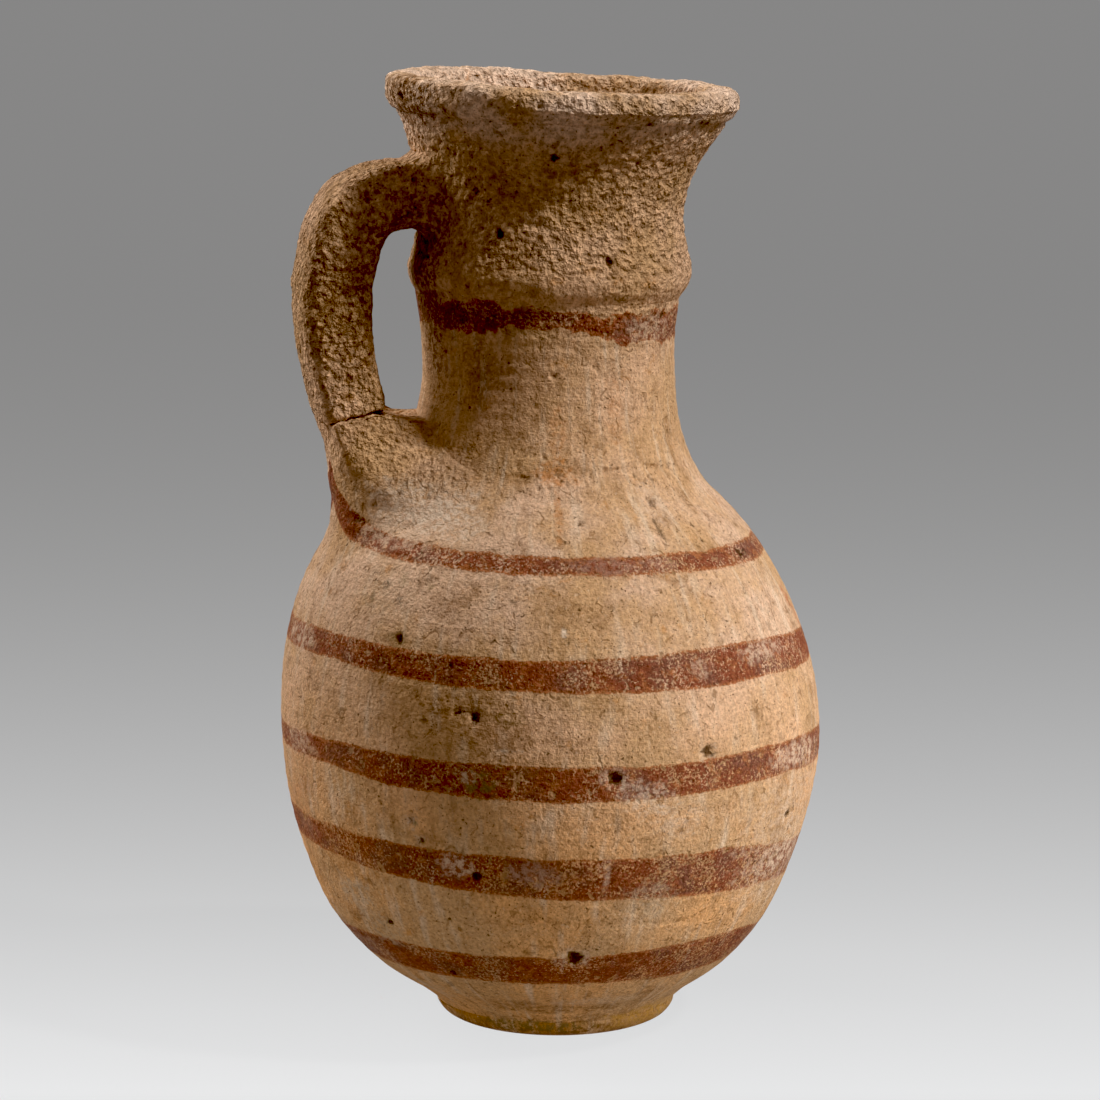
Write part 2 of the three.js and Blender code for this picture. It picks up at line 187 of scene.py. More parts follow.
# How closely the meshes are divided, and where the poles of a piece lie on its flat sheet
COLUMNS = 600
BEARINGS = np.arange(COLUMNS) * 360 / COLUMNS
OUTLINE_POINTS = 2000
BODY_STEP = 0.65
NECK_STEP = 0.4
INSIDE_STEP = 2.5
MOUTH_STEP = 0.6
FLOOR_POLE_GAP = 0.05
FOOT_RINGS = 14
FLARE_RINGS = 5
LIP_RINGS = 44
SLOPE_RINGS = 12
BEZIER_POINTS = 400
STRAP_RINGS = 200
STRAP_SIDES = 170
PAD_SECTIONS = 260
PAD_SIDE_COUNT = 90
PAD_EDGE_COUNT = 12
PAD_TOP_COUNT = 50
PAD_INNER_COUNT = 20
SHARP_ANGLE = math.radians(65)
SHEET_SHARE = 0.9
POLE_DISC_SHARE = 0.04
POLE_PLACES = ((0.05, 0.95), (0.15, 0.95))

# Unevenness: the height of each noise, the width of its bumps and its seed
WOBBLE = ((0.32, 42, 1), (0.14, 17, 2))
GRIT = ((0.26, 1.9, 3), (0.22, 1.1, 4), (0.14, 4.5, 5))
SMOOTHED = ((0.05, 5, 14),)
RING_DRIFT = ((2.5, 55, 6),)
RING_FADE = ((1, 20, 7),)
BAND_WANDERS = ((0.35, 9, 8), (0.2, 3, 9))
NECK_BAND_FRAYS = ((1, 7, 10), (0.5, 1.8, 26))
STAIN_RAGS = ((1, 2.2, 11), (0.6, 0.9, 12))
FINE_RAG = ((1, 1.1, 13),)
SLOW_RAG = ((1, 5.5, 23),)
RIM_LUMPS = ((0.3, 12, 15), (0.22, 5, 16))
UNDERCUT_PATCHES = ((2.4, 2.2, 24),)
UNDERCUT_WANDERS = ((1.2, 3, 25),)
DENT_RAGS = ((0.35, 1.3, 17),)
CRACK_RAGS = ((1, 2.2, 18),)
CRACK_JAG_BUMPS = ((1, 3.4, 21), (0.5, 1.2, 22))
STRAP_LUMPS = ((0.35, 11, 19), (0.2, 5, 20))
PAD_LUMPS = ((0.3, 11, 19), (0.25, 5, 20))

# How much of the coarse grain each place has; GRIT_RISES says how much is added from one level to another
BODY_GRIT_SHARE = 0.12
GRIT_RISES = ((0.3, 150, 166), (0.58, 169, 175))
INNER_GRIT_SHARE = 0.6
INNER_RELIEF_RADIUS = 10
RIM_GRIT_SHARE = 0.8
STRAP_GRIT_SHARE = 0.65
RING_SPACING = 3.3
RING_HEIGHT = 0.035

# Painted bands, from the foot up: (bearing, height) along the lower edge, then along the upper edge
BANDS = (
    (((180, 17.2), (250, 17.9), (300, 17.1), (330, 17.3), (352, 16.4)),
     ((180, 24.5), (222, 25.6), (272, 24.9), (300, 26), (325, 26.4), (352, 23.4))),
    (((196, 44.3), (215, 44.2), (230, 42.7), (247, 41), (268, 39.6), (299, 38), (316, 37.2), (350, 34.8)),
     ((194, 51.1), (220, 50.9), (248, 49.8), (272, 48.8), (298, 48.4), (312, 48.2), (329, 45.8),
      (346, 44))),
    (((193, 64.3), (217, 64.6), (233, 63.1), (249, 62.3), (272, 61.7), (310, 62.1), (329, 62.5),
      (349, 61.4)),
     ((193, 68.7), (217, 70), (272, 69.5), (296, 69.3), (329, 70.2), (347, 69.2))),
    (((190, 85.8), (218, 86.3), (256, 85), (301, 84.9), (326, 85.5), (350, 84.6)),
     ((188, 91.1), (216, 91.9), (242, 91.4), (273, 91.7), (302, 93.2), (331, 93.4), (358, 91.2))),
    (((155, 108.4), (177, 109.4), (184, 110.6), (190, 112.8), (195, 116.7), (200, 112.8), (206, 110.6),
      (213, 109.4), (235, 108.4), (330, 108.4)),
     ((155, 112.4), (177, 114.3), (184, 117.1), (190, 120.6), (195, 127), (200, 120.6), (206, 117.1),
      (213, 114.3), (221, 113), (235, 112.4), (258, 112), (330, 112.5))),
    (((204, 157), (223, 156.3), (249, 158.1), (274, 158.8), (294, 156.6), (326, 155.1), (348, 155.3)),
     ((196, 163.4), (222, 162.9), (249, 163.5), (272, 163.7), (292, 162.1), (314, 161.4), (340, 162.7))),
)
NECK_BAND = len(BANDS) - 1
NECK_BAND_WANDER = 1.7
# The slip's depth where there is none at all
BARE = -50.0

# Creases where lengths of clay were luted: (bearing, height) along each, then its width, depth and ends
CREASES = (
    (((190, 121), (225, 122), (236, 122.8), (257, 126), (280, 127.6), (301, 128.6), (350, 127)),
     1.1, 0.9, (150, 330)),
    (((200, 119), (225, 119.5), (240, 122.4), (257, 123.3), (275, 122.2), (300, 120.5)),
     1, 0.3, (222, 292)),
    (((180, 163.6), (270, 164), (360, 163.4)), 1.2, 0.2, (0, 360)),
    (((180, 4.9), (270, 4.6), (360, 4.9)), 0.8, 0.25, (0, 360)),
)
CREASE_FADE = 12
CREASE_WANDERS = (0.8, 0.3)
CREASE_PATCHES = (0.7, 1.1, 0.3)
CREASE_STRENGTHS = (0.05, 1.3)
CREASE_PIT_COUNT = 330
CREASE_PIT_SIZES = (0.4, 0.9)
CREASE_PIT_SCATTER = 2
CREASE_PIT_DEPTH_SHARE = 0.5

# Deep pits: bearing, height, radius, depth
PITS = (
    (236, 93.2, 1.3, 0.7), (255, 79.2, 1.5, 0.8), (251, 79.9, 1, 0.5), (304, 71.2, 1.7, 0.8),
    (283, 66.8, 1.9, 1.1), (240, 55.8, 1.2, 0.5), (242, 51.6, 1.3, 0.6), (254, 44.4, 1.5, 0.9),
    (276, 25.1, 1.9, 1.3), (228, 30.2, 1.1, 0.6), (241, 19.1, 1.1, 0.7), (225, 99.8, 1, 0.4),
    (332, 52, 1.8, 0.6), (334, 110.3, 1.6, 0.7), (309, 121.8, 2.2, 0.5), (306, 118, 1.4, 0.4),
    (295, 173.4, 1.3, 1), (269, 195.8, 1.3, 0.9), (248, 178.6, 1.2, 0.9), (201, 177, 1.3, 0.9),
    (332, 161.1, 1.6, 0.6), (70, 88, 1.6, 0.8), (110, 52, 1.8, 0.9), (35, 71, 1.4, 0.7),
    (130, 104, 1.5, 0.6), (88, 30, 1.5, 0.8), (20, 180, 1.3, 0.9), (95, 186, 1.4, 0.9),
    (140, 178, 1.2, 0.8),
)

# Pits in the rim: bearing, radius from the axis, height, size and depth
RIM_PITS = (
    (206, 38.6, 205.4, 1.1, 1.1), (214, 38, 208.3, 1, 0.6), (226, 37.2, 209.2, 1.3, 0.5),
    (340, 39, 206.5, 1.2, 0.5), (60, 38.8, 206, 1.4, 0.8), (120, 38.6, 207, 1.2, 0.7),
    (20, 37, 209.4, 1.3, 0.6),
)

# Scattered pits on the walls: how many, from which level to which, and their least and greatest radius
PIT_CROWDS = ((240, 8, 160, 0.45, 1.1), (460, 166, 202, 0.45, 1.05))
PIT_DEPTH_SHARE = 0.42
PIT_RAG_SHARE = 0.6
DENT_ROUNDNESS = 1.3

# Scattered dents: how many, the first ring that has them, least and greatest size, and depth by size
RIM_DENTS = (170, 4, 0.5, 1.1, 0.4)
STRAP_DENTS = (150, 0, 0.45, 1, 0.45)
PAD_DENTS = (200, 0, 0.45, 1.2, 0.45)

# Cracks and scratches: width, depth and the (bearing, height) of each corner
CRACKS = (
    (0.7, 0.5, ((211, 114.3), (214, 113.9), (217, 114.2))),
    (0.6, 0.4, ((231, 88), (234, 87.7), (236, 86.6))),
    (0.7, 0.4, ((251, 80), (253, 80.4), (256, 80))),
    (0.6, 0.4, ((332, 110.8), (335, 110.1), (337, 110.5))),
    (0.6, 0.35, ((259, 73), (262, 72.4), (265, 73.1))),
    (0.7, 0.4, ((307, 118.6), (306, 115.8), (307, 113.5))),
)
CRACK_RAG_SHARE = 0.5

# Paints of the stains and worn places, and of the painted shade and light among them
PAINTS = {
    "pale": (0.62, 0.45, 0.32),
    "white": (0.74, 0.6, 0.46),
    "olive": (0.17, 0.13, 0.06),
    # Soot, and the painted shade inside the pits and cracks where most of its marks sit
    "soot_and_hollow_shade": (0.035, 0.024, 0.014),
    "rust": (0.5, 0.2, 0.06),
    "lilac": (0.38, 0.24, 0.18),
    "grey": (0.46, 0.36, 0.25),
    "ochre": (0.6, 0.34, 0.1),
    "umber": (0.2, 0.1, 0.04),
    "red": (0.42, 0.13, 0.06),
}

# Stains and worn places, with painted shade in pits and cracks and a few patches of painted light and shade
# named below: paint, bearing, height, half width, half height, strength
STAINS_AND_PAINTED_LIGHT = (
    ("umber", 300, 3, 30, 4, 0.5), ("rust", 212, 46, 22, 28, 0.16), ("pale", 336, 48, 22, 18, 0.45),
    # The pale patch at bearing 223 and height 115 is partly pale clay and partly painted light, where the
    # left lamp falls on the shoulder.
    ("pale", 223, 115, 12, 5, 0.6), ("soot_and_hollow_shade", 228, 103.6, 1.2, 0.9, 0.8),
    ("soot_and_hollow_shade", 233.5, 100.6, 1.4, 1, 0.7), ("soot_and_hollow_shade", 238, 104.6, 0.8, 0.7, 0.8),
    ("soot_and_hollow_shade", 244, 77.8, 2.2, 0.8, 0.6), ("umber", 248, 81.4, 8, 2.2, 0.5),
    ("olive", 262, 79.4, 4, 1.6, 0.5), ("soot_and_hollow_shade", 250, 84.3, 1, 0.6, 0.7), ("umber", 246, 101, 5, 3, 0.3),
    ("soot_and_hollow_shade", 262, 103, 0.8, 0.6, 0.7), ("umber", 240, 178, 15, 16, 0.3), ("umber", 251, 174.5, 7, 4, 0.55),
    ("umber", 256, 78, 14, 9, 0.45), ("umber", 264, 68, 9, 4, 0.4), ("umber", 267, 46, 8, 5, 0.45),
    ("soot_and_hollow_shade", 236, 160, 9, 3, 0.45), ("soot_and_hollow_shade", 256, 160, 5, 3, 0.35), ("umber", 320, 160, 5, 3, 0.35),
    ("umber", 248, 146, 9, 12, 0.3), ("umber", 266, 148, 2, 9, 0.3), ("umber", 238, 150, 4, 10, 0.3),
    ("rust", 274, 136, 2, 7, 0.3), ("rust", 300, 141, 2, 8, 0.25), ("rust", 274, 128, 5, 3, 0.5),
    # The white patches at bearings 226 and 238 on the shoulder are partly whitish clay and partly painted
    # highlights.
    ("rust", 274, 120, 1, 7, 0.4), ("white", 226, 120, 14, 5, 0.5), ("white", 238, 117, 10, 4, 0.45),
    ("pale", 309, 121.5, 3.4, 4.2, 0.55), ("soot_and_hollow_shade", 306, 116.6, 0.8, 3, 0.5),
    ("soot_and_hollow_shade", 336, 110.2, 1.8, 0.5, 0.8), ("olive", 236, 93.2, 2.8, 2, 0.55),
    ("soot_and_hollow_shade", 236, 93.2, 0.9, 0.8, 0.9), ("olive", 225, 99.8, 1.6, 1.4, 0.5),
    ("olive", 233, 104.9, 1.3, 1.1, 0.5), ("olive", 241, 104.7, 1.3, 0.9, 0.5),
    ("grey", 229, 102, 9, 6, 0.25), ("white", 274, 97.2, 0.8, 1.6, 0.7), ("soot_and_hollow_shade", 274.6, 96, 0.8, 0.8, 0.8),
    ("soot_and_hollow_shade", 253, 80, 2.4, 0.5, 0.85), ("soot_and_hollow_shade", 255, 79, 1.3, 0.9, 0.9),
    ("white", 262, 72.7, 3.4, 0.4, 0.7), ("pale", 304, 71.4, 2.4, 1.9, 0.6), ("soot_and_hollow_shade", 305, 70.8, 1, 1, 0.9),
    ("pale", 283, 66.8, 3.4, 2.6, 0.6), ("soot_and_hollow_shade", 283.6, 66.6, 1.2, 1, 0.9),
    ("olive", 255, 65, 4.6, 3.4, 0.75), ("pale", 253, 66.4, 2.4, 1.6, 0.6),
    ("pale", 240, 55.8, 2.2, 1.8, 0.7), ("olive", 241, 55.2, 1, 0.9, 0.8), ("pale", 242, 51.6, 2, 1.5, 0.6),
    ("olive", 242.6, 51.2, 1, 0.8, 0.8), ("pale", 249, 46.6, 4.4, 3, 0.7),
    ("soot_and_hollow_shade", 254, 44.4, 1.3, 1.1, 0.85), ("lilac", 266, 45.2, 6.5, 3.2, 0.6), ("grey", 218, 36, 7, 5, 0.5),
    ("grey", 224, 28.5, 6, 5, 0.45), ("soot_and_hollow_shade", 228, 30.2, 1, 0.9, 0.85), ("white", 290, 62, 7, 4.4, 0.35),
    ("white", 297, 57, 7, 5, 0.25), ("grey", 293, 38.1, 7, 4.5, 0.35), ("pale", 331, 52.6, 3, 3.6, 0.6),
    ("pale", 334, 49.6, 2.2, 2.6, 0.5), ("red", 351, 99.4, 3, 3.4, 0.55), ("red", 354, 95, 2.4, 3.4, 0.5),
    ("pale", 276, 25, 4, 3, 0.55), ("olive", 276, 25.1, 2, 1.7, 0.8), ("soot_and_hollow_shade", 276, 25.2, 1.3, 1.2, 0.95),
    ("soot_and_hollow_shade", 241, 19.1, 1.2, 0.8, 0.85), ("pale", 282, 43.7, 0.7, 5, 0.5), ("pale", 305, 89, 3, 2.4, 0.4),
    ("pale", 324, 90.8, 9, 2.4, 0.55), ("lilac", 286, 110.4, 9, 2, 0.4), ("lilac", 300, 110.3, 5, 1.8, 0.3),
    ("lilac", 340, 40, 9, 4, 0.4), ("lilac", 345, 21, 9, 4, 0.5), ("lilac", 200, 88, 7, 3, 0.35),
    ("lilac", 203, 48, 6, 3, 0.3), ("lilac", 205, 22, 9, 4, 0.5), ("umber", 216, 42.7, 7, 3, 0.2),
    ("umber", 238, 81, 6, 5, 0.18), ("grey", 226, 12, 6, 3, 0.35), ("umber", 273, 9, 18, 1.8, 0.55),
    # The umber at bearing 270 and height 1.4 is painted shade along the foot's lower edge.
    ("umber", 250, 11, 10, 1, 0.3), ("pale", 285, 11.6, 12, 1.4, 0.3), ("umber", 270, 1.4, 40, 2.6, 0.85),
    ("olive", 262, 3.4, 14, 1.7, 0.55), ("ochre", 318, 4, 12, 3.4, 0.6), ("ochre", 340, 5.4, 10, 3.4, 0.5),
    # The umber at bearing 207 and height 165 is painted shade on the handle's front face, which lies in the
    # neck's shadow. The umber at bearing 208 and height 206 darkens the lip's left end.
    ("umber", 207, 165, 8, 24, 0.85), ("umber", 208, 206, 15, 5, 1), ("pale", 200, 88.5, 9, 3, 0.6),
    ("pale", 204, 67, 9, 3, 0.55), ("pale", 333, 66, 12, 3, 0.65), ("pale", 336, 42, 12, 4, 0.65),
    ("pale", 322, 159, 9, 3, 0.45), ("pale", 80, 90, 12, 8, 0.4), ("umber", 60, 62, 9, 7, 0.25),
    ("grey", 100, 40, 10, 7, 0.4), ("white", 130, 118, 10, 5, 0.4), ("umber", 90, 145, 4, 12, 0.35),
    ("rust", 120, 130, 3, 8, 0.3), ("olive", 70, 88, 3, 2.6, 0.6), ("pale", 110, 52, 3.4, 3, 0.7),
    ("umber", 80, 182, 12, 9, 0.3),
)
STAIN_EDGE = 1.15
STAIN_RAGGEDNESS = 0.45
STAIN_REACH = 1.6
STAIN_FADE = 0.55
LEAST_STAIN = 1e-6

# Clay and slip colours, linear
CLAY_PALE = (0.65, 0.44, 0.3)
CLAY_WARM = (0.55, 0.34, 0.18)
CLAY_LOW = (0.67, 0.365, 0.165)
CLAY_OCHRE = (0.37, 0.17, 0.04)
CLAY_DARK = (0.2, 0.1, 0.04)
CLAY_NECK = (0.66, 0.42, 0.26)
# The rim's tone: partly paler clay, partly painted light on the lip's lit top
RIM_CLAY_AND_LIGHT = (0.86, 0.63, 0.47)
DUST = (0.72, 0.57, 0.42)
RUST = (0.5, 0.22, 0.06)
# Dark of pores, specks, pits, cracks and dents: partly dirt, partly painted shade in the hollows
PIT_SHADE_AND_DIRT = (0.05, 0.022, 0.008)
SLIP_RED = (0.195, 0.06, 0.034)
SLIP_ORANGE = (0.35, 0.14, 0.06)
SLIP_PURPLE = (0.17, 0.072, 0.05)

# Noises in the materials: the width of the bumps, detail, roughness and a shift that sets each apart
NOISES = {
    "fine": (0.7, 3, 0.6, 12),
    "coarse": (1.4, 3, 0.5, 13),
    "pore crowds": (9, 3, 0.55, 5),
    "small pores": (1, 3, 0.6, 2),
    "large pores": (2.4, 4, 0.62, 7),
    "scratches": (7, 2, 0.55, 22),
    "scratch gaps": (3, 3, 0.55, 23),
    "tone": (24, 4, 0.6, 0),
    "dirt": (6, 6, 0.72, 4),
    "smears": (2.4, 5, 0.55, 0),
    "dust": (3.5, 5, 0.55, 3),
    "rust": (5, 5, 0.7, 14),
    "crumbs": (1.5, 5, 0.72, 17),
    "crumb crowds": (12, 3, 0.55, 18),
    "specks": (0.55, 3, 0.7, 19),
    "grains": (0.7, 3, 0.7, 21),
    "slip edge": (0.8, 4, 0.65, 8),
    "slip wear": (10, 3, 0.55, 4.5),
    "slip flecks": (0.6, 4, 0.75, 9),
    "slip purple": (8, 3, 0.55, 6),
    "slip orange": (2.2, 4, 0.7, 15),
    "stains": (1.5, 5, 0.78, 11),
    "recess": (0.7, 4, 0.55, 16),
    "drag": (1.2, 3, 0.55, 1.5),
}

# How each value changes: from where to where, and what it is at each of the two ends
RAMPS = {
    "pore crowds": (0.35, 0.7, -0.05, 0.035),
    "small pores": (0.325, 0.27, 0, 1),
    "large pores": (0.29, 0.255, 0, 1),
    "scratches": (0.026, 0.01, 0, 1),
    "scratch gaps": (0.54, 0.6, 0, 1),
    "wiped": (0.5, 0.2, 0, 1),
    "tone": (0.38, 0.62, 0, 1),
    "dirt": (0.49, 0.71, 0, 0.6),
    "smears": (0.54, 0.76, 0, 0.35),
    "dust": (0.5, 0.75, 0, 0.55),
    "rust": (0.58, 0.72, 0, 0.5),
    "crumbs": (0.55, 0.69, 0, 0.55),
    "crumb crowds": (0.4, 0.65, 0.3, 1),
    "specks": (0.61, 0.67, 0, 0.85),
    "grains": (0.6, 0.7, 0, 0.45),
    "clay shade": (0.3, 0.7, 0.68, 1.22),
    "slip edge": (-0.15, 0.2, 0, 1),
    "slip thin edge": (0.9, 0.1, 0, 0.75),
    "slip wear": (0.35, 0.65, -0.05, 0.06),
    "slip flecks": (0.54, 0.62, 1, 0.15),
    "slip purple": (0.45, 0.66, 0, 1),
    "slip orange": (0.5, 0.66, 0, 0.7),
    "slip shade": (0.32, 0.68, 0.7, 1.3),
    "stains": (0.43, 0.57, 0.1, 1.2),
    # recess: painted shade, with some dirt, that deepens with a recess's depth
    "recess": (0.18, 0.6, 0, 0.85),
    "belly": (35 * MM, 105 * MM, 0, 1),
    "shoulder": (118 * MM, 134 * MM, 0, 1),
    "mouth": (196 * MM, 203 * MM, 0, 1),
}

# How the place round the jug is scaled for the noises that run in streaks
STRETCHES = {"smears": (1, 1, 0.12), "dust": (1, 1, 0.25), "drag": (0.18, 0.18, 2.2)}

# Patches on the clay, from the first laid to the last
CLAY_PATCHES = {
    "tone": CLAY_WARM,
    "dirt": CLAY_DARK,
    "smears": CLAY_DARK,
    "dust": DUST,
    "rust": RUST,
    "crumbs": CLAY_DARK,
    "specks": PIT_SHADE_AND_DIRT,
    "grains": DUST,
}
GRIT_PORE_SHARE = 0.035
SCRATCH_DARK_SHARE = 0.45
PORE_SHADE_SHARE = 0.7
FINE_SHADE_SHARE = 0.55
SLIP_SCRATCH_SHARE = 0.85
SLIP_RAG = 0.7
RECESS_RAG = 0.4
CLAY_ROUGHNESS = 0.86
CLAY_SHEEN = 0.22

# Height of each kind of grain, from its lowest to its highest
FINE_RELIEF = 0.32
COARSE_RELIEF = 2.9
DRAG_RELIEF = 0.12
PORE_DEPTH = 0.4
SCRATCH_DEPTH = 0.12

# The photograph's camera, and how far it sees
CAMERA_DISTANCE = 953
CAMERA_HEIGHT = 265
CAMERA_PITCH = math.radians(9.48)
CAMERA_LENS = 141.5
CAMERA_SENSOR = 36
CAMERA_SIGHT = 20000

# The stage: a pale floor that curves up into a backdrop, behind the jug and behind the camera. Its grey
# glow, painted light in place of lamp light on it, is palest a little in front of the jug and falls off
# from there.
STAGE_WIDTH = 5200
STAGE_DEPTH = 1500
STAGE_CURVE = 700
STAGE_WALL = 2600
STAGE_POINTS = 24
GREY_FAR = 0.2585
GREY_NEAR = 0.545
GREY_FALL = 330
GREY_NEAREST = -60
GLOW_SHARE = 0.965
GLOW_TINT = (0.99, 1.0, 1.01)
PAPER_SHARE = 0.05

# Lamps: bearing, elevation, distance, size, power in watts, colour, the height they aim at and their spread
LAMPS = {
    "key": (336, 47.5, 1500, 140, 19.2, (1.0, 0.98, 0.96), 110, 180),
    "floor_bounce_left": (222, 1.5, 900, 60, 0.0055, (0.93, 0.97, 1.0), 22, 9),
    "floor_bounce_right": (308, 1.5, 900, 60, 0.0055, (0.93, 0.97, 1.0), 22, 9),
    "low_light": (340, -1, 900, 120, 0.034, (1.0, 0.98, 0.96), 60, 14),
    "left_light": (153, 35, 1400, 700, 17.5, (1.0, 0.95, 0.9), 110, 180),
}
WORLD_COLOUR = (1.0, 0.83, 0.76)
WORLD_STRENGTH = 0.215
BLACK_LEVEL = (0.018, 0.024, 0.028)

# Noise: a fixed set of directions at the corners of a lattice
LATTICE = 256
draw = np.random.default_rng(20)
DIRECTIONS = draw.normal(size=(LATTICE, 3))
DIRECTIONS /= np.linalg.norm(DIRECTIONS, axis=1, keepdims=True)
SHUFFLED = draw.permutation(LATTICE)
SEED_STRIDE = 31.7
NOISE_GAIN = 1.6


def smooth(value, low, high):
    """0 at `low`, 1 at `high`, and smooth between."""
    share = np.clip((value - low) / (high - low), 0, 1)
    return share * share * (3 - 2 * share)


def noise(places, size, seed=0):
    """Smooth noise of about -1 to 1 at each place, with bumps about `size` wide."""
    scaled = places / size + seed * SEED_STRIDE
    cell = np.floor(scaled).astype(int)
    part = scaled - cell
    fade = part**3 * (part * (part * 6 - 15) + 10)
    total = np.zeros(places.shape[:-1])
    for corner in itertools.product((0, 1), repeat=3):
        x, y, z = (cell[..., axis] + corner[axis] for axis in range(3))
        picked = SHUFFLED[(SHUFFLED[(SHUFFLED[x % LATTICE] + y) % LATTICE] + z) % LATTICE]
        weight = np.prod(np.where(corner, fade, 1 - fade), axis=-1)
        total += weight * np.sum(DIRECTIONS[picked] * (part - corner), axis=-1)
    return total * NOISE_GAIN


def layered(places, layers):
    """A sum of noises, each given by its height, the width of its bumps and its seed."""
    return sum(height * noise(places, size, seed) for height, size, seed in layers)


def along(points, bearing):
    """The height of a line of (bearing, height) points at each bearing."""
    bearings, heights = zip(*points)
    return np.interp(bearing, bearings, heights, period=360)


def stretch(bearings, first, last, fade):
    """1 between two bearings and 0 outside them, with soft ends."""
    return smooth(bearings, first, first + fade) * (1 - smooth(bearings, last - fade, last))


def ellipse(wide, narrow, share):
    """The ellipse that is widest at share 0 and has shrunk to `narrow` at share 1."""
    end_sine = math.sqrt(1 - (narrow / wide) ** 2)
    return wide * np.sqrt(np.maximum(0, 1 - (share * end_sine) ** 2))


def between(low, high, height):
    return (height - low) / (high - low)


def waisted(height, low, high, waist_share, radii, powers):
    """A curve that narrows from its foot to a waist and widens again to its top."""
    foot, waist, top = radii
    share = np.clip(between(low, high, height), 0, 1)
    left = np.maximum(0, 1 - share / waist_share)
    risen = np.maximum(0, between(waist_share, 1, share))
    return waist + (foot - waist) * left ** powers[0] + (top - waist) * risen ** powers[1]


def neck_curve(height, *radii):
    return waisted(height, SHOULDER_SEAM, RIDGE_FOOT, LOWER_WAIST_SHARE, radii, LOWER_NECK_POWERS)


def funnel_curve(height):
    radii = RIDGE_TOP_RADIUS, UPPER_WAIST_RADIUS, NECK_TOP_RADIUS
    return waisted(height, RIDGE_TOP, NECK_TOP, UPPER_WAIST_SHARE, radii, UPPER_NECK_POWERS)


def ridge_curve(height):
    share = np.clip(between(RIDGE_FOOT, RIDGE_TOP, height), 0, 1)
    below = share < RIDGE_CREST_SHARE
    edge = np.where(below, RIDGE_FOOT_RADIUS, RIDGE_TOP_RADIUS)
    rise = np.where(below, share / RIDGE_CREST_SHARE, (1 - share) / (1 - RIDGE_CREST_SHARE))
    return edge + (RIDGE_RADIUS - edge) * np.sin(rise * math.pi / 2)


def by_stretch(height, bowl, shoulder, neck, ridge, funnel):
    """The curve of the stretch that each height lies in."""
    tops = (BELLY, SHOULDER_SEAM, RIDGE_FOOT, RIDGE_TOP)
    return np.select([height < top for top in tops], [bowl, shoulder, neck, ridge], funnel)


def crisp_outside(height):
    """The outside radius by height, with the bowl tucked in over the foot and fuller above that."""
    bowl = ellipse(BELLY_RADIUS, FOOT_RADIUS, between(BELLY, FOOT_TOP, height))
    bowl -= FOOT_TUCK * np.exp(-(((height - FOOT_TUCK_HEIGHT) / FOOT_TUCK_REACH) ** 2))
    bowl += BOWL_FULLNESS * np.exp(-(((height - BOWL_FULLEST) / BOWL_FULL_REACH) ** 2))
    shoulder = ellipse(BELLY_RADIUS, SEAM_RADIUS, between(BELLY, SHOULDER_SEAM, height))
    neck = neck_curve(height, SEAM_RADIUS, LOWER_WAIST_RADIUS, RIDGE_FOOT_RADIUS)
    return by_stretch(height, bowl, shoulder, neck, ridge_curve(height), funnel_curve(height))


def outside(height):
    """The outside radius with its corners worn soft."""
    offsets = np.linspace(-1, 1, 5) * OUTLINE_SOFTNESS
    near = [crisp_outside(np.clip(height + offset, FOOT_TOP, NECK_TOP)) for offset in offsets]
    return np.mean(near, axis=0)


def inside(height):
    """The inside radius by height."""
    wide = BELLY_RADIUS - BODY_WALL
    narrow = SEAM_RADIUS - SEAM_WALL
    bowl = ellipse(wide, 0, between(BELLY, FLOOR, height))
    shoulder = ellipse(wide, narrow, between(BELLY, SHOULDER_SEAM, height))
    neck = neck_curve(height, narrow, LOWER_WAIST_RADIUS - NECK_WALL, RIDGE_FOOT_RADIUS - NECK_WALL)
    widening = RIDGE_TOP_RADIUS - RIDGE_FOOT_RADIUS
    ridge = RIDGE_FOOT_RADIUS - NECK_WALL + widening * between(RIDGE_FOOT, RIDGE_TOP, height)
    return by_stretch(height, bowl, shoulder, neck, ridge, funnel_curve(height) - NECK_WALL)


def walked_along(line):
    """How far each point of a line lies from its first, measured along it."""
    return np.concatenate([[0], np.cumsum(np.linalg.norm(np.diff(line, axis=0), axis=1))])


def even_heights(radius_at, start, end, step):
    """Heights from start to end whose points lie `step` apart along the outline."""
    fine = np.linspace(start, end, OUTLINE_POINTS)
    walked = walked_along(np.column_stack([fine, radius_at(fine)]))
    count = max(2, math.ceil(walked[-1] / step) + 1)
    return np.interp(np.linspace(0, walked[-1], count), walked, fine)


def placed(radius, bearing, height):
    """Points in the row frame, from a radius, a bearing and a height."""
    turn = np.radians(bearing) - VIEW_TURN
    radius, turn, height = np.broadcast_arrays(radius, turn, height)
    return np.stack([radius * np.cos(turn), radius * np.sin(turn), height], axis=-1)


def apart(bearing, other):
    """Degrees from one bearing to another, -180 to 180."""
    return (other - bearing + 180) % 360 - 180


def lean(places):
    """The upright jug, moved the way that the real one leans."""
    rightward = np.array([math.cos(VIEW_TURN), -math.sin(VIEW_TURN)])
    height = places[..., 2]
    across = places[..., :2] @ rightward
    sway = np.interp(height, *zip(*SWAYS))
    moved = places.copy()
    moved[..., :2] += sway[..., None] * rightward
    moved[..., 2] -= TILT_SHARE * smooth(height, TILT_START, TILT_FULL) * across
    return moved


def grit_share(height):
    """How coarse the clay is: nearly 0 on the smoothed body and 1 above the ridge."""
    return sum((rise * smooth(height, low, high) for rise, low, high in GRIT_RISES), BODY_GRIT_SHARE)


def throwing_rings(places):
    """The level rings that the potter's fingers left."""
    phase = 2 * math.pi * places[..., 2] / RING_SPACING + layered(places, RING_DRIFT)
    return RING_HEIGHT * np.sin(phase) * (1 + layered(places, RING_FADE))


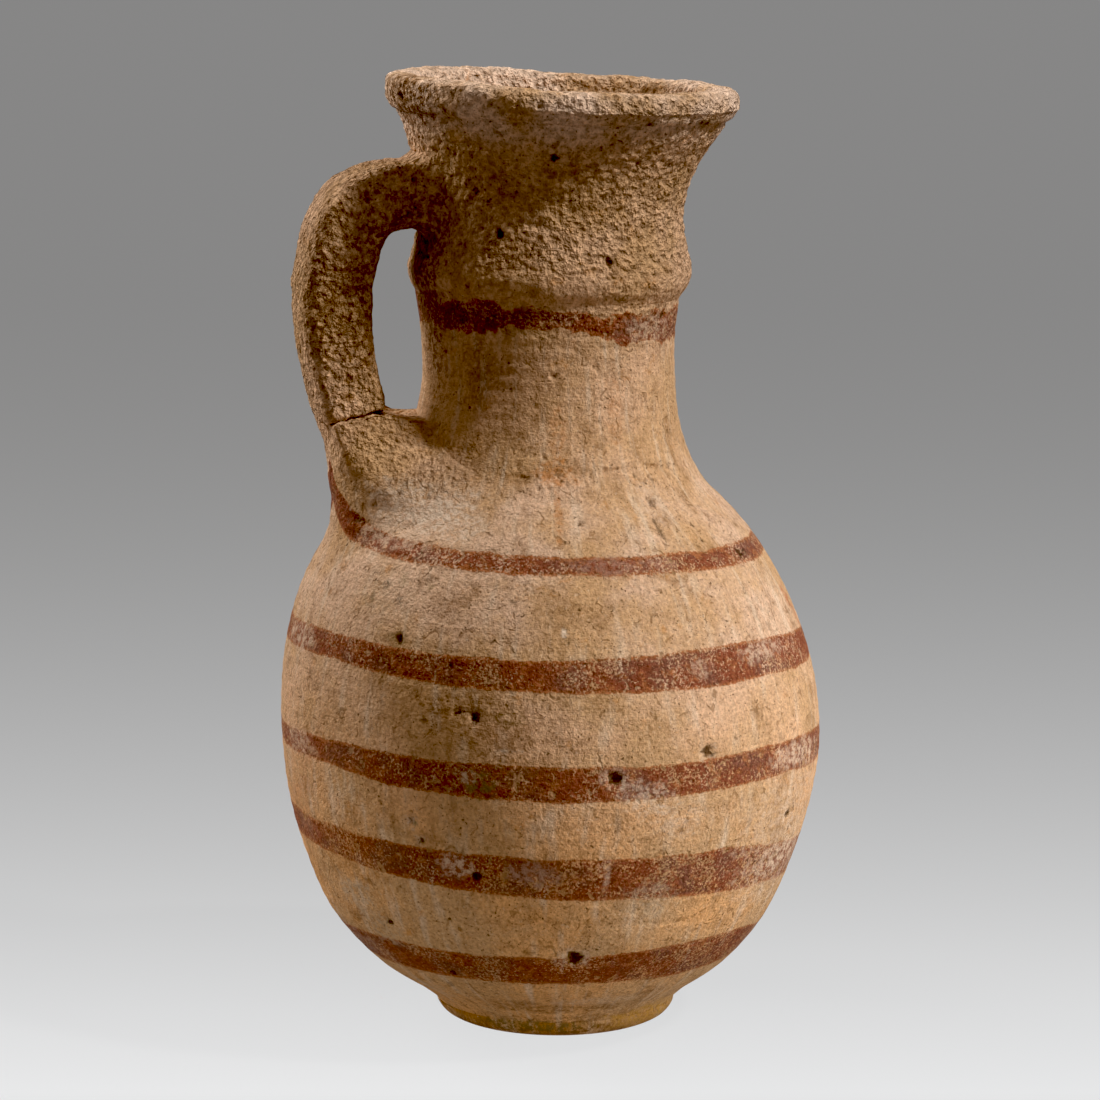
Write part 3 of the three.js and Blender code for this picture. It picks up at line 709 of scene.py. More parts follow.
def drawn_size(least, greatest):
    """A random size, more often small than large."""
    return least + (greatest - least) * draw.random() ** 2


def scattered_pits():
    """Small pits all over the outside, most of them above the ridge, and a row of them along the seam."""
    pits = []
    for count, low, high, least, greatest in PIT_CROWDS:
        for _ in range(count):
            radius = drawn_size(least, greatest)
            bearing = 360 * draw.random()
            pits.append((bearing, low + (high - low) * draw.random(), radius, PIT_DEPTH_SHARE * radius))
    line, _, _, (first, last) = CREASES[0]
    for _ in range(CREASE_PIT_COUNT):
        bearing = first + (last - first) * draw.random()
        radius = drawn_size(*CREASE_PIT_SIZES)
        height = along(line, bearing) + CREASE_PIT_SCATTER * draw.normal()
        pits.append((bearing, height, radius, CREASE_PIT_DEPTH_SHARE * radius))
    return pits


ALL_PITS = PITS + tuple(scattered_pits())


def dent(deep, away):
    """The depth of a round dent, at `away` times its radius from its middle."""
    return deep * np.maximum(0, 1 - away**2) ** DENT_ROUNDNESS


class Wall:
    """A stretch of the vessel's upright wall, by its rings' heights and radii, and what is cut into it."""

    def __init__(self, heights, radii):
        self.heights = heights
        self.radii = radii
        self.upright = placed(radii[:, None], BEARINGS, heights[:, None])
        self.ragged = layered(self.upright, FINE_RAG)
        self.rough = layered(self.upright, SLOW_RAG)

    def near(self, middle, reach, bearing):
        """The rings near a height: which they are, their radii, and each point's way to a place there."""
        rows = np.abs(self.heights - middle) < reach
        radii = self.radii[rows][:, None]
        arc = np.radians(apart(bearing, BEARINGS)) * radii
        return rows, radii, arc

    def add_pits(self, depth):
        for bearing, height, radius, deep in ALL_PITS:
            rows, _, arc = self.near(height, 2 * radius, bearing)
            away = np.hypot(arc, self.heights[rows][:, None] - height) / radius
            away = away * (1 + PIT_RAG_SHARE * self.ragged[rows])
            depth[rows] = np.maximum(depth[rows], dent(deep, away))

    def add_cracks(self, depth):
        for width, deep, corners in CRACKS:
            for (bearing, height), (next_bearing, next_height) in zip(corners, corners[1:]):
                climb = next_height - height
                reach = abs(climb) / 2 + 2 * width
                rows, radii, arc = self.near((height + next_height) / 2, reach, bearing)
                rise = self.heights[rows][:, None] - height
                run = np.radians(next_bearing - bearing) * radii
                share = np.clip((arc * run + rise * climb) / (run**2 + climb**2), 0, 1)
                away = np.hypot(arc - share * run, rise - share * climb) / width
                away = away * (1 + CRACK_RAG_SHARE * self.ragged[rows])
                depth[rows] = np.maximum(depth[rows], deep * np.maximum(0, 1 - away))

    def creased(self, depth):
        """The depths again, with the creases added."""
        wander = CREASE_WANDERS[0] * self.rough + CREASE_WANDERS[1] * self.ragged
        patchy = CREASE_PATCHES[0] + CREASE_PATCHES[1] * self.rough + CREASE_PATCHES[2] * self.ragged
        patchy = np.clip(patchy, *CREASE_STRENGTHS)
        for line, width, deep, (first, last) in CREASES:
            rise = self.heights[:, None] - along(line, BEARINGS) - wander
            there = 1 if last - first >= 360 else stretch(BEARINGS, first, last, CREASE_FADE)
            depth = np.maximum(depth, deep * there * patchy * np.exp(-((rise / width) ** 2)))
        return depth

    def outer(self, share=1.0):
        """Points and layers of the outside, with `share` of its relief."""
        recess = np.zeros(self.upright.shape[:2])
        self.add_pits(recess)
        self.add_cracks(recess)
        coarse = grit_share(self.heights)[:, None]
        offset = share * (skin(self.upright, coarse) - self.creased(recess))
        places = placed(self.radii[:, None] + offset, BEARINGS, self.heights[:, None])
        return places, layers_at(self.upright, coarse, recess, slip_depth(self.upright))


def slip_depth(places):
    """How far each point lies inside the nearest painted band's edge; negative outside the bands."""
    heights = places[..., 2]
    bearing = np.degrees(np.arctan2(places[..., 1], places[..., 0]) + VIEW_TURN) % 360
    wander = layered(places, BAND_WANDERS)
    frayed = wander + NECK_BAND_WANDER * layered(places, NECK_BAND_FRAYS)
    deepest = np.full(places.shape[:-1], BARE)
    for number, (lower, upper) in enumerate(BANDS):
        shift = frayed if number == NECK_BAND else wander
        from_edges = heights - along(lower, bearing) + shift, along(upper, bearing) - heights + shift
        deepest = np.maximum(deepest, np.minimum(*from_edges))
    return deepest


def stain_and_painted_light_colours(places):
    """The colour and strength of the stains, and of the painted shade and light among them, at each point.
    """
    height = places[..., 2]
    bearing = np.degrees(np.arctan2(places[..., 1], places[..., 0]) + VIEW_TURN) % 360
    radius = np.hypot(places[..., 0], places[..., 1])
    ragged = STAIN_EDGE + STAIN_RAGGEDNESS * layered(places, STAIN_RAGS)
    colour = np.zeros(places.shape[:-1] + (4,))
    for paint, middle, level, across, up, strength in STAINS_AND_PAINTED_LIGHT:
        near = np.abs(height - level) < STAIN_REACH * up
        arc = np.radians(apart(middle, bearing[near])) * radius[near]
        away = np.hypot(arc / across, (height[near] - level) / up)
        share = strength * smooth(ragged[near] - away, 0, STAIN_FADE)
        left = colour[near][:, 3] * (1 - share)
        total = share + left
        mixed = share[:, None] * np.array(PAINTS[paint]) + left[:, None] * colour[near][:, :3]
        colour[near] = np.column_stack([mixed / np.maximum(total, LEAST_STAIN)[:, None], total])
    return colour


def layers_at(upright, coarse, recess=None, slip=None):
    """What the materials need to know at each point. Clay whose recess isn't given has no stains and no
    painted shade or light.
    """
    shape = upright.shape[:2]
    return {
        "slip_depth": np.full(shape, BARE) if slip is None else slip,
        "grit": np.broadcast_to(coarse, shape),
        "recess": np.zeros(shape) if recess is None else recess,
        "stain_and_painted_light": np.zeros(shape + (4,)) if recess is None else stain_and_painted_light_colours(upright),
    }


def skin(upright, coarse):
    """How far the outside stands out from its outline, before pits and cracks."""
    smoothed = layered(upright, SMOOTHED)
    even = layered(upright, WOBBLE) + throwing_rings(upright) + smoothed
    return even + coarse * (layered(upright, GRIT) - smoothed)


def inner_wall(heights):
    """Points and layers of the inside, rougher than the outside in the body and as coarse in the mouth."""
    radii = inside(heights)
    upright = placed(radii[:, None], BEARINGS, heights[:, None])
    coarse = grit_share(heights)[:, None]
    relief = INNER_GRIT_SHARE * coarse * layered(upright, GRIT) + 2 * throwing_rings(upright)
    shrink = np.minimum(1, radii / INNER_RELIEF_RADIUS)[:, None]
    offset = (layered(upright, WOBBLE) + relief) * shrink
    places = placed(radii[:, None] + offset, BEARINGS, heights[:, None])
    return places, layers_at(upright, coarse)


def wall_grid(low, high, step, inside_step, inside_low=None):
    """A ring of wall: up the outside and down the inside, which can end higher."""
    heights = even_heights(outside, low, high, step)
    outer = Wall(heights, outside(heights)).outer()
    inner = inner_wall(even_heights(inside, high, inside_low or low, inside_step))
    places = np.concatenate([outer[0], inner[0]])
    return places, {name: np.concatenate([outer[1][name], inner[1][name]]) for name in outer[1]}


def grid_faces(rows, columns, closed):
    """The faces of a grid of rings, with the place of each corner on a flat sheet.
    Rings that don't close on themselves end in two poles, which are the last two vertices."""
    index = np.arange(rows * columns).reshape(rows, columns)
    below = index if closed else index[:-1]
    above = np.roll(index, -1, axis=0) if closed else index[1:]
    quads = np.stack([below, np.roll(below, -1, axis=1), np.roll(above, -1, axis=1), above], axis=-1)
    faces = quads.reshape(-1, 4).tolist()
    left = np.broadcast_to(np.arange(columns) / columns, below.shape)
    right = left + 1 / columns
    strips = len(below)
    tall = 1.0 if closed else SHEET_SHARE
    low = np.broadcast_to((np.arange(strips) / strips * tall)[:, None], below.shape)
    high = low + tall / strips
    sheet = np.stack([left, low, right, low, right, high, left, high], axis=-1).reshape(-1, 2)
    if closed:
        return faces, sheet
    turn = np.arange(columns + 1) * 2 * math.pi / columns
    circle = np.column_stack([np.cos(turn), np.sin(turn)]) * POLE_DISC_SHARE
    discs = []
    for number, ring in enumerate((index[0][::-1], index[-1])):
        pole = np.full(columns, rows * columns + number)
        faces += np.column_stack([pole, ring, np.roll(ring, -1)]).tolist()
        centre = np.array(POLE_PLACES[number])
        corners = [np.broadcast_to(centre, (columns, 2)), centre + circle[:-1], centre + circle[1:]]
        discs.append(np.stack(corners, axis=1).reshape(-1, 2))
    return faces, np.concatenate([sheet, *discs])


def with_poles(rings, closed):
    flat = rings.reshape(-1, *rings.shape[2:])
    if closed:
        return flat
    return np.concatenate([flat, rings[:1].mean(axis=1), rings[-1:].mean(axis=1)])


LAYER_KINDS = {"FLOAT": "value", "FLOAT_VECTOR": "vector", "FLOAT_COLOR": "color"}


def add_layer(mesh, name, kind, values):
    attribute = mesh.attributes.new(name, kind, "POINT")
    attribute.data.foreach_set(LAYER_KINDS[kind], values.astype(np.float32).ravel())


def clay_piece(name, node, clay, grid, closed=True):
    """One closed piece of the jug over a grid of rings, in the CAD node's place."""
    rings, layers = grid
    upright = with_poles(rings, closed)
    faces, sheet = grid_faces(*rings.shape[:2], closed)
    mesh = bpy.data.meshes.new(name)
    mesh.from_pydata((lean(upright) * MM).tolist(), [], faces)
    mesh.uv_layers.new(name="OFBake").data.foreach_set("uv", sheet.astype(np.float32).ravel())
    mesh.shade_smooth()
    mesh.set_sharp_from_angle(angle=SHARP_ANGLE)
    for layer, values in layers.items():
        kind = "FLOAT_COLOR" if layer == "stain_and_painted_light" else "FLOAT"
        add_layer(mesh, layer, kind, with_poles(values, closed))
    distance = np.maximum(1, np.linalg.norm(upright[:, :2], axis=1, keepdims=True))
    around = np.column_stack([upright[:, :2] / distance * BELLY_RADIUS, upright[:, 2]]) * MM
    add_layer(mesh, "around", "FLOAT_VECTOR", around)
    slot, material = clay
    mesh.materials.append(material)
    piece = bpy.data.objects.new(name, mesh)
    bpy.context.scene.collection.objects.link(piece)
    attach(piece, "root")
    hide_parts(node)
    return piece


def foot_grid():
    """The low disc: a flat face to stand on and a rounded side up to the bowl."""
    turn = np.linspace(0, math.pi / 2, FOOT_RINGS)
    top_radius = outside(np.array([FOOT_TOP]))[0]
    radii = FOOT_BASE_RADIUS + (top_radius - FOOT_BASE_RADIUS) * np.sin(turn)
    return Wall(FOOT_TOP * (1 - np.cos(turn)), radii).outer(np.sin(turn)[:, None])


def lip_section():
    """Radii and heights from the neck round the lip and down into the mouth, and the lip's middle."""
    middle = np.array([LIP_RADIUS - LIP_WEAR - LIP_THICKNESS / 2, RIM_TOP - LIP_HALF_HEIGHT])
    turned = np.column_stack(rounded(LIP_SQUARENESS, np.linspace(LIP_START, LIP_END, LIP_RINGS)))
    lip = middle + np.array([LIP_THICKNESS / 2, LIP_HALF_HEIGHT]) * turned
    seat = np.array([outside(np.array([NECK_TOP]))[0], NECK_TOP])
    inner_seat = np.array([inside(np.array([NECK_TOP]))[0], NECK_TOP])
    flare = seat + (np.array(LIP_CREASE) - seat) * np.linspace(0, 1, FLARE_RINGS)[:, None]
    slope = lip[-1] + (inner_seat - lip[-1]) * np.linspace(0, 1, SLOPE_RINGS)[1:, None]
    return np.concatenate([flare, lip, slope]).T, middle


def undercut(upright, radii, heights):
    """How deep the crease under the lip is cut: here and there, and most between two bearings."""
    weak, usual, strong = UNDERCUT_STRENGTHS
    there = stretch(BEARINGS, *UNDERCUT_BEARINGS, UNDERCUT_FADE)
    strength = np.clip(weak + there * (usual + layered(upright, UNDERCUT_PATCHES)), 0, strong)
    shift = layered(upright, UNDERCUT_WANDERS) - UNDERCUT_RISE
    crease_radius, crease_height = LIP_CREASE
    inward = radii[:, None] - crease_radius - UNDERCUT_OUTWARD
    away = np.hypot(inward, heights[:, None] - crease_height + shift)
    return strength * UNDERCUT * np.maximum(0, 1 - away / UNDERCUT_REACH)


def rim_grid():
    """The thick lip, up from the crease under it, over the top and down into the mouth."""
    (radii, heights), middle = lip_section()
    upright = placed(radii[:, None], BEARINGS, heights[:, None])
    from_seat = smooth(heights, NECK_TOP, NECK_TOP + RIM_SEAT_FADE)[:, None]
    seat_ring = placed(radii[0], BEARINGS, NECK_TOP)[None]
    outward = np.column_stack([radii, heights]) - middle
    outward /= np.linalg.norm(outward, axis=-1, keepdims=True)
    placed_pits = [(placed(radius, bearing, height), *pit) for bearing, radius, height, *pit in RIM_PITS]
    recess = scattered_dents(upright, *RIM_DENTS, placed_pits) + undercut(upright, radii, heights)
    lumps = layered(upright, RIM_LUMPS) + RIM_GRIT_SHARE * layered(upright, GRIT)
    relief = from_seat * (lumps - recess)
    radial = layered(seat_ring, WOBBLE) + (1 - from_seat) * layered(seat_ring, GRIT)
    leftward = smooth(-np.cos(np.radians(BEARINGS)), 0, LIP_LIFT_SPREAD)
    low = 1 - smooth(heights, LIP_CREASE[1], middle[1])[:, None]
    lift = from_seat * (LIP_LIFT * leftward + LIP_NARROWING * low * (1 - leftward))
    radius = radii[:, None] + radial + relief * outward[:, :1]
    places = placed(radius, BEARINGS, heights[:, None] + relief * outward[:, 1:] + lift)
    return places, layers_at(upright, grit_share(heights)[:, None], recess)


def bezier(corners, share):
    """Points of a cubic Bezier curve."""
    share = share[:, None]
    weights = ((1 - share) ** 3, 3 * share * (1 - share) ** 2, 3 * share**2 * (1 - share), share**3)
    return sum(weight * np.array(corner) for weight, corner in zip(weights, corners))


def strap_line():
    """The middle of the strap as (reach, height), from inside the neck's wall down to its seat."""
    root = np.array([UPPER_WAIST_RADIUS - NECK_WALL / 2, HANDLE_ROOT])
    bend = np.array([HANDLE_REACH + HANDLE_FULLNESS - HANDLE_THICKNESS / 2, HANDLE_BEND])
    seat = np.array([HANDLE_SEAT_RADIUS, HANDLE_SEAT])
    fall = (HANDLE_BEND - HANDLE_SEAT) * HANDLE_FOOT_PULL_SHARE
    rise = (HANDLE_ROOT - HANDLE_BEND) * HANDLE_BEND_PULL_SHARE
    root_pull = root + ((bend[0] - root[0]) * HANDLE_TOP_PULL_SHARE, 0)
    seat_pull = seat + fall * np.array([HANDLE_FOOT_LEAN_SHARE, 1]) / math.hypot(HANDLE_FOOT_LEAN_SHARE, 1)
    share = np.linspace(0, 1, BEZIER_POINTS)
    fine = np.concatenate([
        bezier((root, root_pull, bend + (0, rise), bend), share),
        bezier((bend, bend - (0, fall), seat_pull, seat), share)[1:],
    ])
    walked = walked_along(fine)
    even = np.linspace(0, walked[-1], STRAP_RINGS)
    return np.column_stack([np.interp(even, walked, fine[:, side]) for side in (0, 1)])


def rounded(squareness, turn):
    """A rounded rectangle of half width 1: its two coordinates at each turn."""
    cosine, sine = np.cos(turn), np.sin(turn)
    bulge = (np.abs(cosine) ** squareness + np.abs(sine) ** squareness) ** (-1 / squareness)
    return cosine * bulge, sine * bulge


def scattered_dents(upright, count, first_ring, least, greatest, depth_share, placed_dents=()):
    """How deep each point of a piece lies in the placed dents and in others scattered over its rings."""
    dents = list(placed_dents)
    for _ in range(count):
        ring = int(draw.integers(first_ring, upright.shape[0]))
        column = int(draw.integers(0, upright.shape[1]))
        size = drawn_size(least, greatest)
        dents.append((upright[ring, column], size, depth_share * size))
    ragged = 1 + layered(upright, DENT_RAGS)
    depth = np.zeros(upright.shape[:2])
    for middle, size, deep in dents:
        away = np.linalg.norm(upright - middle, axis=-1) / size * ragged
        depth = np.maximum(depth, dent(deep, away))
    return depth


def swollen(places, outward):
    """A surface with a round fillet where it comes near the vessel's wall, drawn out along that wall."""
    distance = np.hypot(places[..., 0], places[..., 1])
    gap = distance - outside(np.clip(places[..., 2], FOOT_TOP, NECK_TOP))
    left = FILLET_RADIUS - np.clip(gap, 0, FILLET_RADIUS)
    swell = FILLET_RADIUS - np.sqrt(np.maximum(0, FILLET_RADIUS**2 - left**2))
    moved = places + outward * swell[..., None]
    drift = distance / np.hypot(moved[..., 0], moved[..., 1])
    moved[..., :2] *= (1 + (drift - 1) * swell / FILLET_RADIUS)[..., None]
    return moved


def seam_crack(places, away):
    """The crack between strap and pad: a groove that is deepest on the side that faces the neck."""
    reach = np.hypot(places[..., 0], places[..., 1])
    there = 1 - CRACK_CLOSING_SHARE * smooth(reach, *CRACK_CLOSING_REACHES)
    ragged = np.clip(1 + layered(places, CRACK_RAGS), *CRACK_STRENGTHS)
    return CRACK_DEPTH * ragged * there * np.maximum(0, 1 - away / CRACK_WIDTH)


def jagged(places, away):
    """Places near the crack, moved so that both of its sides run jagged."""
    share = np.maximum(0, 1 - away / CRACK_JAG_REACH)
    moved = places.copy()
    moved[..., 2] += CRACK_JAGS * share * layered(places * (1, 1, 0), CRACK_JAG_BUMPS)
    return moved


def strap_grid():
    """The handle: a strap with rounded edges that swells into the neck and ends in a cracked seat."""
    line = strap_line()
    ahead = np.gradient(line, axis=0)
    ahead /= np.linalg.norm(ahead, axis=1, keepdims=True)
    outward = np.column_stack([-ahead[:, 1], ahead[:, 0]])
    growth = np.interp(np.linspace(0, 1, STRAP_RINGS), *zip(*HANDLE_SWELLS))[:, None]
    across, deep = rounded(STRAP_SQUARENESS, np.arange(STRAP_SIDES) * 2 * math.pi / STRAP_SIDES)
    half_depth = HANDLE_THICKNESS / 2 * growth
    reach = line[:, :1] + outward[:, :1] * half_depth * deep
    height = line[:, 1:] + outward[:, 1:] * half_depth * deep
    upright = np.stack([-reach, HANDLE_WIDTH / 2 * growth * across, height], axis=-1)
    facing = deep * np.abs(deep)
    sideways = np.broadcast_to(across * np.abs(across), reach.shape)
    normal = np.stack([-outward[:, :1] * facing, sideways, outward[:, 1:] * facing], axis=-1)
    normal /= np.linalg.norm(normal, axis=-1, keepdims=True)
    to_seat = np.linalg.norm(line - line[-1], axis=1)[:, None]
    recess = scattered_dents(upright, *STRAP_DENTS) + seam_crack(upright, to_seat)
    lumps = layered(upright, STRAP_LUMPS) + STRAP_GRIT_SHARE * layered(upright, GRIT)
    places = jagged(swollen(upright, normal), to_seat) + normal * (lumps - recess)[..., None]
    return places, layers_at(upright, 1, recess)


def seat_level(reach):
    """The pad's top: a fillet at the neck, a small rise at the strap's heel, then the sloping seat."""
    level = PAD_LEVEL + PAD_HEEL_RISE * smooth(reach, *PAD_HEEL_REACHES)
    left = np.clip(PAD_HEEL_FILLET - (reach - LOWER_WAIST_RADIUS), 0, PAD_HEEL_FILLET)
    level = level + PAD_HEEL_FILLET - np.sqrt(PAD_HEEL_FILLET**2 - left**2)
    return np.minimum(level, HANDLE_SEAT + (HANDLE_SEAT_RADIUS - reach) * HANDLE_FOOT_LEAN_SHARE)


def lesser(first, second, blend):
    """The lesser of two lengths, rounded where they are nearly equal."""
    share = np.clip(0.5 + (second - first) / (2 * blend), 0, 1)
    return second + (first - second) * share - blend * share * (1 - share)


def pad_radius(turn, height):
    """The radius of the pad, which flows into the wall, and how much of it is lump and not wall."""
    reach = np.interp(height, *zip(*PAD_REACHES))
    forward, sideways = np.cos(turn), np.maximum(np.abs(np.sin(turn)), LEAST_SINE)
    square = lesser(reach / forward, PAD_TOP_WIDTH / 2 / sideways, PAD_CORNER)
    oval = (forward / reach) ** PAD_ROUNDNESS + (sideways / PAD_FOOT_WIDTH * 2) ** PAD_ROUNDNESS
    oval = oval ** (-1 / PAD_ROUNDNESS)
    lump = oval + (square - oval) * smooth(height, PAD_SQUARE_LEVEL, PAD_LEVEL)
    lump = lump - PAD_SHRINK * smooth(height, *PAD_SHRINK_LEVELS) * (1 - smooth(lump, *PAD_SHRINK_REACHES))
    wall = outside(height)
    blend = np.interp(height, *zip(*WALL_BLENDS))
    lumpy = smooth(lump - wall, -blend, PAD_CLEAR)
    sink = PAD_SINK * (1 - smooth(lump - wall, -blend, -blend / 2))
    return -lesser(-wall, -lump, blend) - sink, lumpy


def pad_section(turn):
    """Radii and heights of the pad's sections: up the side, round the edge, over the top and down inside.
    With them comes how much each point is lump, side and top."""
    top_radius, _ = pad_radius(turn, PAD_LEVEL)
    level = seat_level(top_radius)
    edge = PAD_LEAST_EDGE + PAD_EDGE * (1 - smooth(top_radius, *PAD_EDGE_REACHES))
    heights = PAD_BOTTOM + (level - edge - PAD_BOTTOM) * np.linspace(0, 1, PAD_SIDE_COUNT)
    radii, lumpy = pad_radius(turn, heights)
    curl = np.linspace(0, math.pi / 2, PAD_EDGE_COUNT + 1)[1:]
    inner = LOWER_WAIST_RADIUS - NECK_WALL
    edge_radii = radii[:, -1:] - edge * (1 - np.cos(curl))
    shares = np.linspace(0, 1, PAD_TOP_COUNT + 1)[1:]
    top_radii = edge_radii[:, -1:] + (inner - edge_radii[:, -1:]) * shares
    inner_heights = level + (PAD_BOTTOM - level) * np.linspace(0, 1, PAD_INNER_COUNT + 2)[1:-1]
    edge_heights = level - edge * (1 - np.sin(curl))
    inner_radii = np.full(inner_heights.shape, inner)
    radius = np.concatenate([radii, edge_radii, top_radii, inner_radii], axis=1)
    height = np.concatenate([heights, edge_heights, seat_level(top_radii), inner_heights], axis=1)
    bare = np.zeros(PAD_INNER_COUNT)
    on_side = np.concatenate([np.ones(PAD_SIDE_COUNT), np.cos(curl), np.zeros(PAD_TOP_COUNT), bare])
    on_top = np.concatenate([np.zeros(PAD_SIDE_COUNT), 1 - np.cos(curl), np.ones(PAD_TOP_COUNT), bare])
    rest = np.repeat(lumpy[:, -1:], PAD_EDGE_COUNT + PAD_TOP_COUNT, axis=1)
    lump = np.concatenate([lumpy, rest, np.zeros(inner_heights.shape)], axis=1)
    return radius, height, lump, on_side, on_top


def pad_grid():
    """The lump of clay under the handle, in sections that fan out round the jug's axis."""
    turn = np.radians(np.linspace(-PAD_SPREAD, PAD_SPREAD, PAD_SECTIONS))[:, None]
    radius, height, lump, on_side, on_top = pad_section(turn)
    bearing = np.degrees(turn + VIEW_TURN) + 180
    upright = placed(radius, bearing, height)
    to_seat = seat_level(radius) - height + PAD_CRACK_GAP * (1 - smooth(radius, *PAD_CRACK_REACHES))
    crack = seam_crack(upright, np.maximum(0, to_seat)) * on_side
    dents = scattered_dents(upright, *PAD_DENTS) * lump
    coarse = np.maximum(grit_share(height), PAD_GRIT_SHARE * lump * smooth(height, *PAD_GRIT_LEVELS))
    lumps = lump * layered(upright, PAD_LUMPS) + skin(upright, coarse)
    places = placed(radius + on_side * (lumps - dents - crack), bearing, height + on_top * (lumps - dents))
    return jagged(places, to_seat), layers_at(upright, coarse, dents + crack, slip_depth(upright))


class Recipe:
    """A material under construction: short calls that add nodes and join them."""

    def __init__(self, name):
        self.material = bpy.data.materials.new(name)
        self.material.use_nodes = True
        self.tree = self.material.node_tree
        self.tree.nodes.clear()
        self.place = self.add("ShaderNodeTexCoord").outputs["Object"]
        self.around = self.layer("around").outputs["Vector"]

    def add(self, kind, inputs=(), **settings):
        node = self.tree.nodes.new(kind)
        for name, value in settings.items():
            setattr(node, name, value)
        for name, value in dict(inputs).items():
            self.feed(node.inputs[name], value)
        return node

    def feed(self, socket, value):
        if isinstance(value, bpy.types.NodeSocket):
            self.tree.links.new(value, socket)
        else:
            socket.default_value = value

    def layer(self, name):
        return self.add("ShaderNodeAttribute", attribute_name=name)

    def sum(self, operation, first, second=0.0, third=0.0):
        node = self.add("ShaderNodeMath", operation=operation)
        for socket, value in zip(node.inputs, (first, second, third)):
            self.feed(socket, value)
        return node.outputs[0]

    def stretched(self, name):
        """The place round the jug, with one of the STRETCHES."""
        return self.add("ShaderNodeMapping", {"Vector": self.around, "Scale": STRETCHES[name]}).outputs[0]

    def noise(self, name):
        """Noise of 0 to 1, as NOISES says."""
        size, detail, roughness, shift = NOISES[name]
        place = self.stretched(name) if name in STRETCHES else self.place
        moved = self.add("ShaderNodeMapping", {"Vector": place, "Location": (shift, shift, shift)})
        inputs = {
            "Vector": moved.outputs[0],
            "Scale": 1 / (size * MM),
            "Detail": detail,
            "Roughness": roughness,
        }
        return self.add("ShaderNodeTexNoise", inputs).outputs["Fac"]

    def ramp(self, value, name):
        """A value that changes smoothly, as RAMPS says."""
        low, high, bottom, top = RAMPS[name]
        inputs = {"Value": value, "From Min": low, "From Max": high, "To Min": bottom, "To Max": top}
        return self.add("ShaderNodeMapRange", inputs, interpolation_type="SMOOTHSTEP").outputs["Result"]

    def patches(self, name):
        return self.ramp(self.noise(name), name)

    def mix(self, share, under, over, blend="MIX"):
        node = self.add("ShaderNodeMix", data_type="RGBA", blend_type=blend)
        self.feed(node.inputs["Factor"], share)
        self.feed(node.inputs[6], self.opaque(under))
        self.feed(node.inputs[7], self.opaque(over))
        return node.outputs[2]

    def shaded(self, colour, shade):
        return self.mix(1.0, colour, self.grey(shade), "MULTIPLY")

    def opaque(self, colour):
        return colour if isinstance(colour, bpy.types.NodeSocket) else (*colour, 1.0)

    def grey(self, value):
        return self.add("ShaderNodeCombineColor", {"Red": value, "Green": value, "Blue": value}).outputs[0]

    def shade(self, inputs):
        shader = self.add("ShaderNodeBsdfPrincipled", inputs)
        output = self.add("ShaderNodeOutputMaterial")
        self.tree.links.new(shader.outputs["BSDF"], output.inputs["Surface"])
        return self.material


class Grain:
    """The clay's own relief, 0 to 1 each: how gritty it is, fine and coarse grain, pores and scratches."""

    def __init__(self, recipe):
        self.grit = recipe.layer("grit").outputs["Fac"]
        self.fine = recipe.noise("fine")
        self.coarse = recipe.noise("coarse")
        crowding = recipe.sum("MULTIPLY_ADD", self.grit, GRIT_PORE_SHARE, recipe.patches("pore crowds"))
        small, large = (
            recipe.ramp(recipe.sum("SUBTRACT", recipe.noise(name), crowding), name)
            for name in ("small pores", "large pores")
        )
        self.pores = recipe.sum("MAXIMUM", small, large)
        winding = recipe.sum("ABSOLUTE", recipe.sum("SUBTRACT", recipe.noise("scratches"), 0.5))
        winding = recipe.ramp(winding, "scratches")
        self.scratches = recipe.sum("MULTIPLY", winding, recipe.patches("scratch gaps"))


def clay_colour(recipe, base, grain):
    """Fired clay: patches of tone, dirt, smears, dust, rust and crumbs, and painted shade and light that
    follow its grain.
    """
    wiped = recipe.ramp(grain.grit, "wiped")
    only = {"smears": wiped, "dust": wiped, "crumbs": recipe.patches("crumb crowds")}
    colour = base
    for name, paint in CLAY_PATCHES.items():
        share = recipe.patches(name)
        if name in only:
            share = recipe.sum("MULTIPLY", only[name], share)
        colour = recipe.mix(share, colour, paint)
    colour = recipe.mix(recipe.sum("MULTIPLY", grain.scratches, SCRATCH_DARK_SHARE), colour, CLAY_DARK)
    # Painted shade in the grain's hollows and painted light on its bumps, from the same noises as the
    # relief.
    faint = recipe.sum("MULTIPLY_ADD", grain.fine, FINE_SHADE_SHARE, (1 - FINE_SHADE_SHARE) / 2)
    coarse = recipe.sum("SUBTRACT", grain.coarse, 0.5)
    hollow = recipe.sum("MULTIPLY_ADD", grain.grit, coarse, faint)
    return recipe.shaded(colour, recipe.ramp(hollow, "clay shade"))


def ragged(recipe, name, reach):
    """Noise about zero, out to `reach` both ways."""
    return recipe.sum("MULTIPLY_ADD", recipe.noise(name), 2 * reach, -reach)


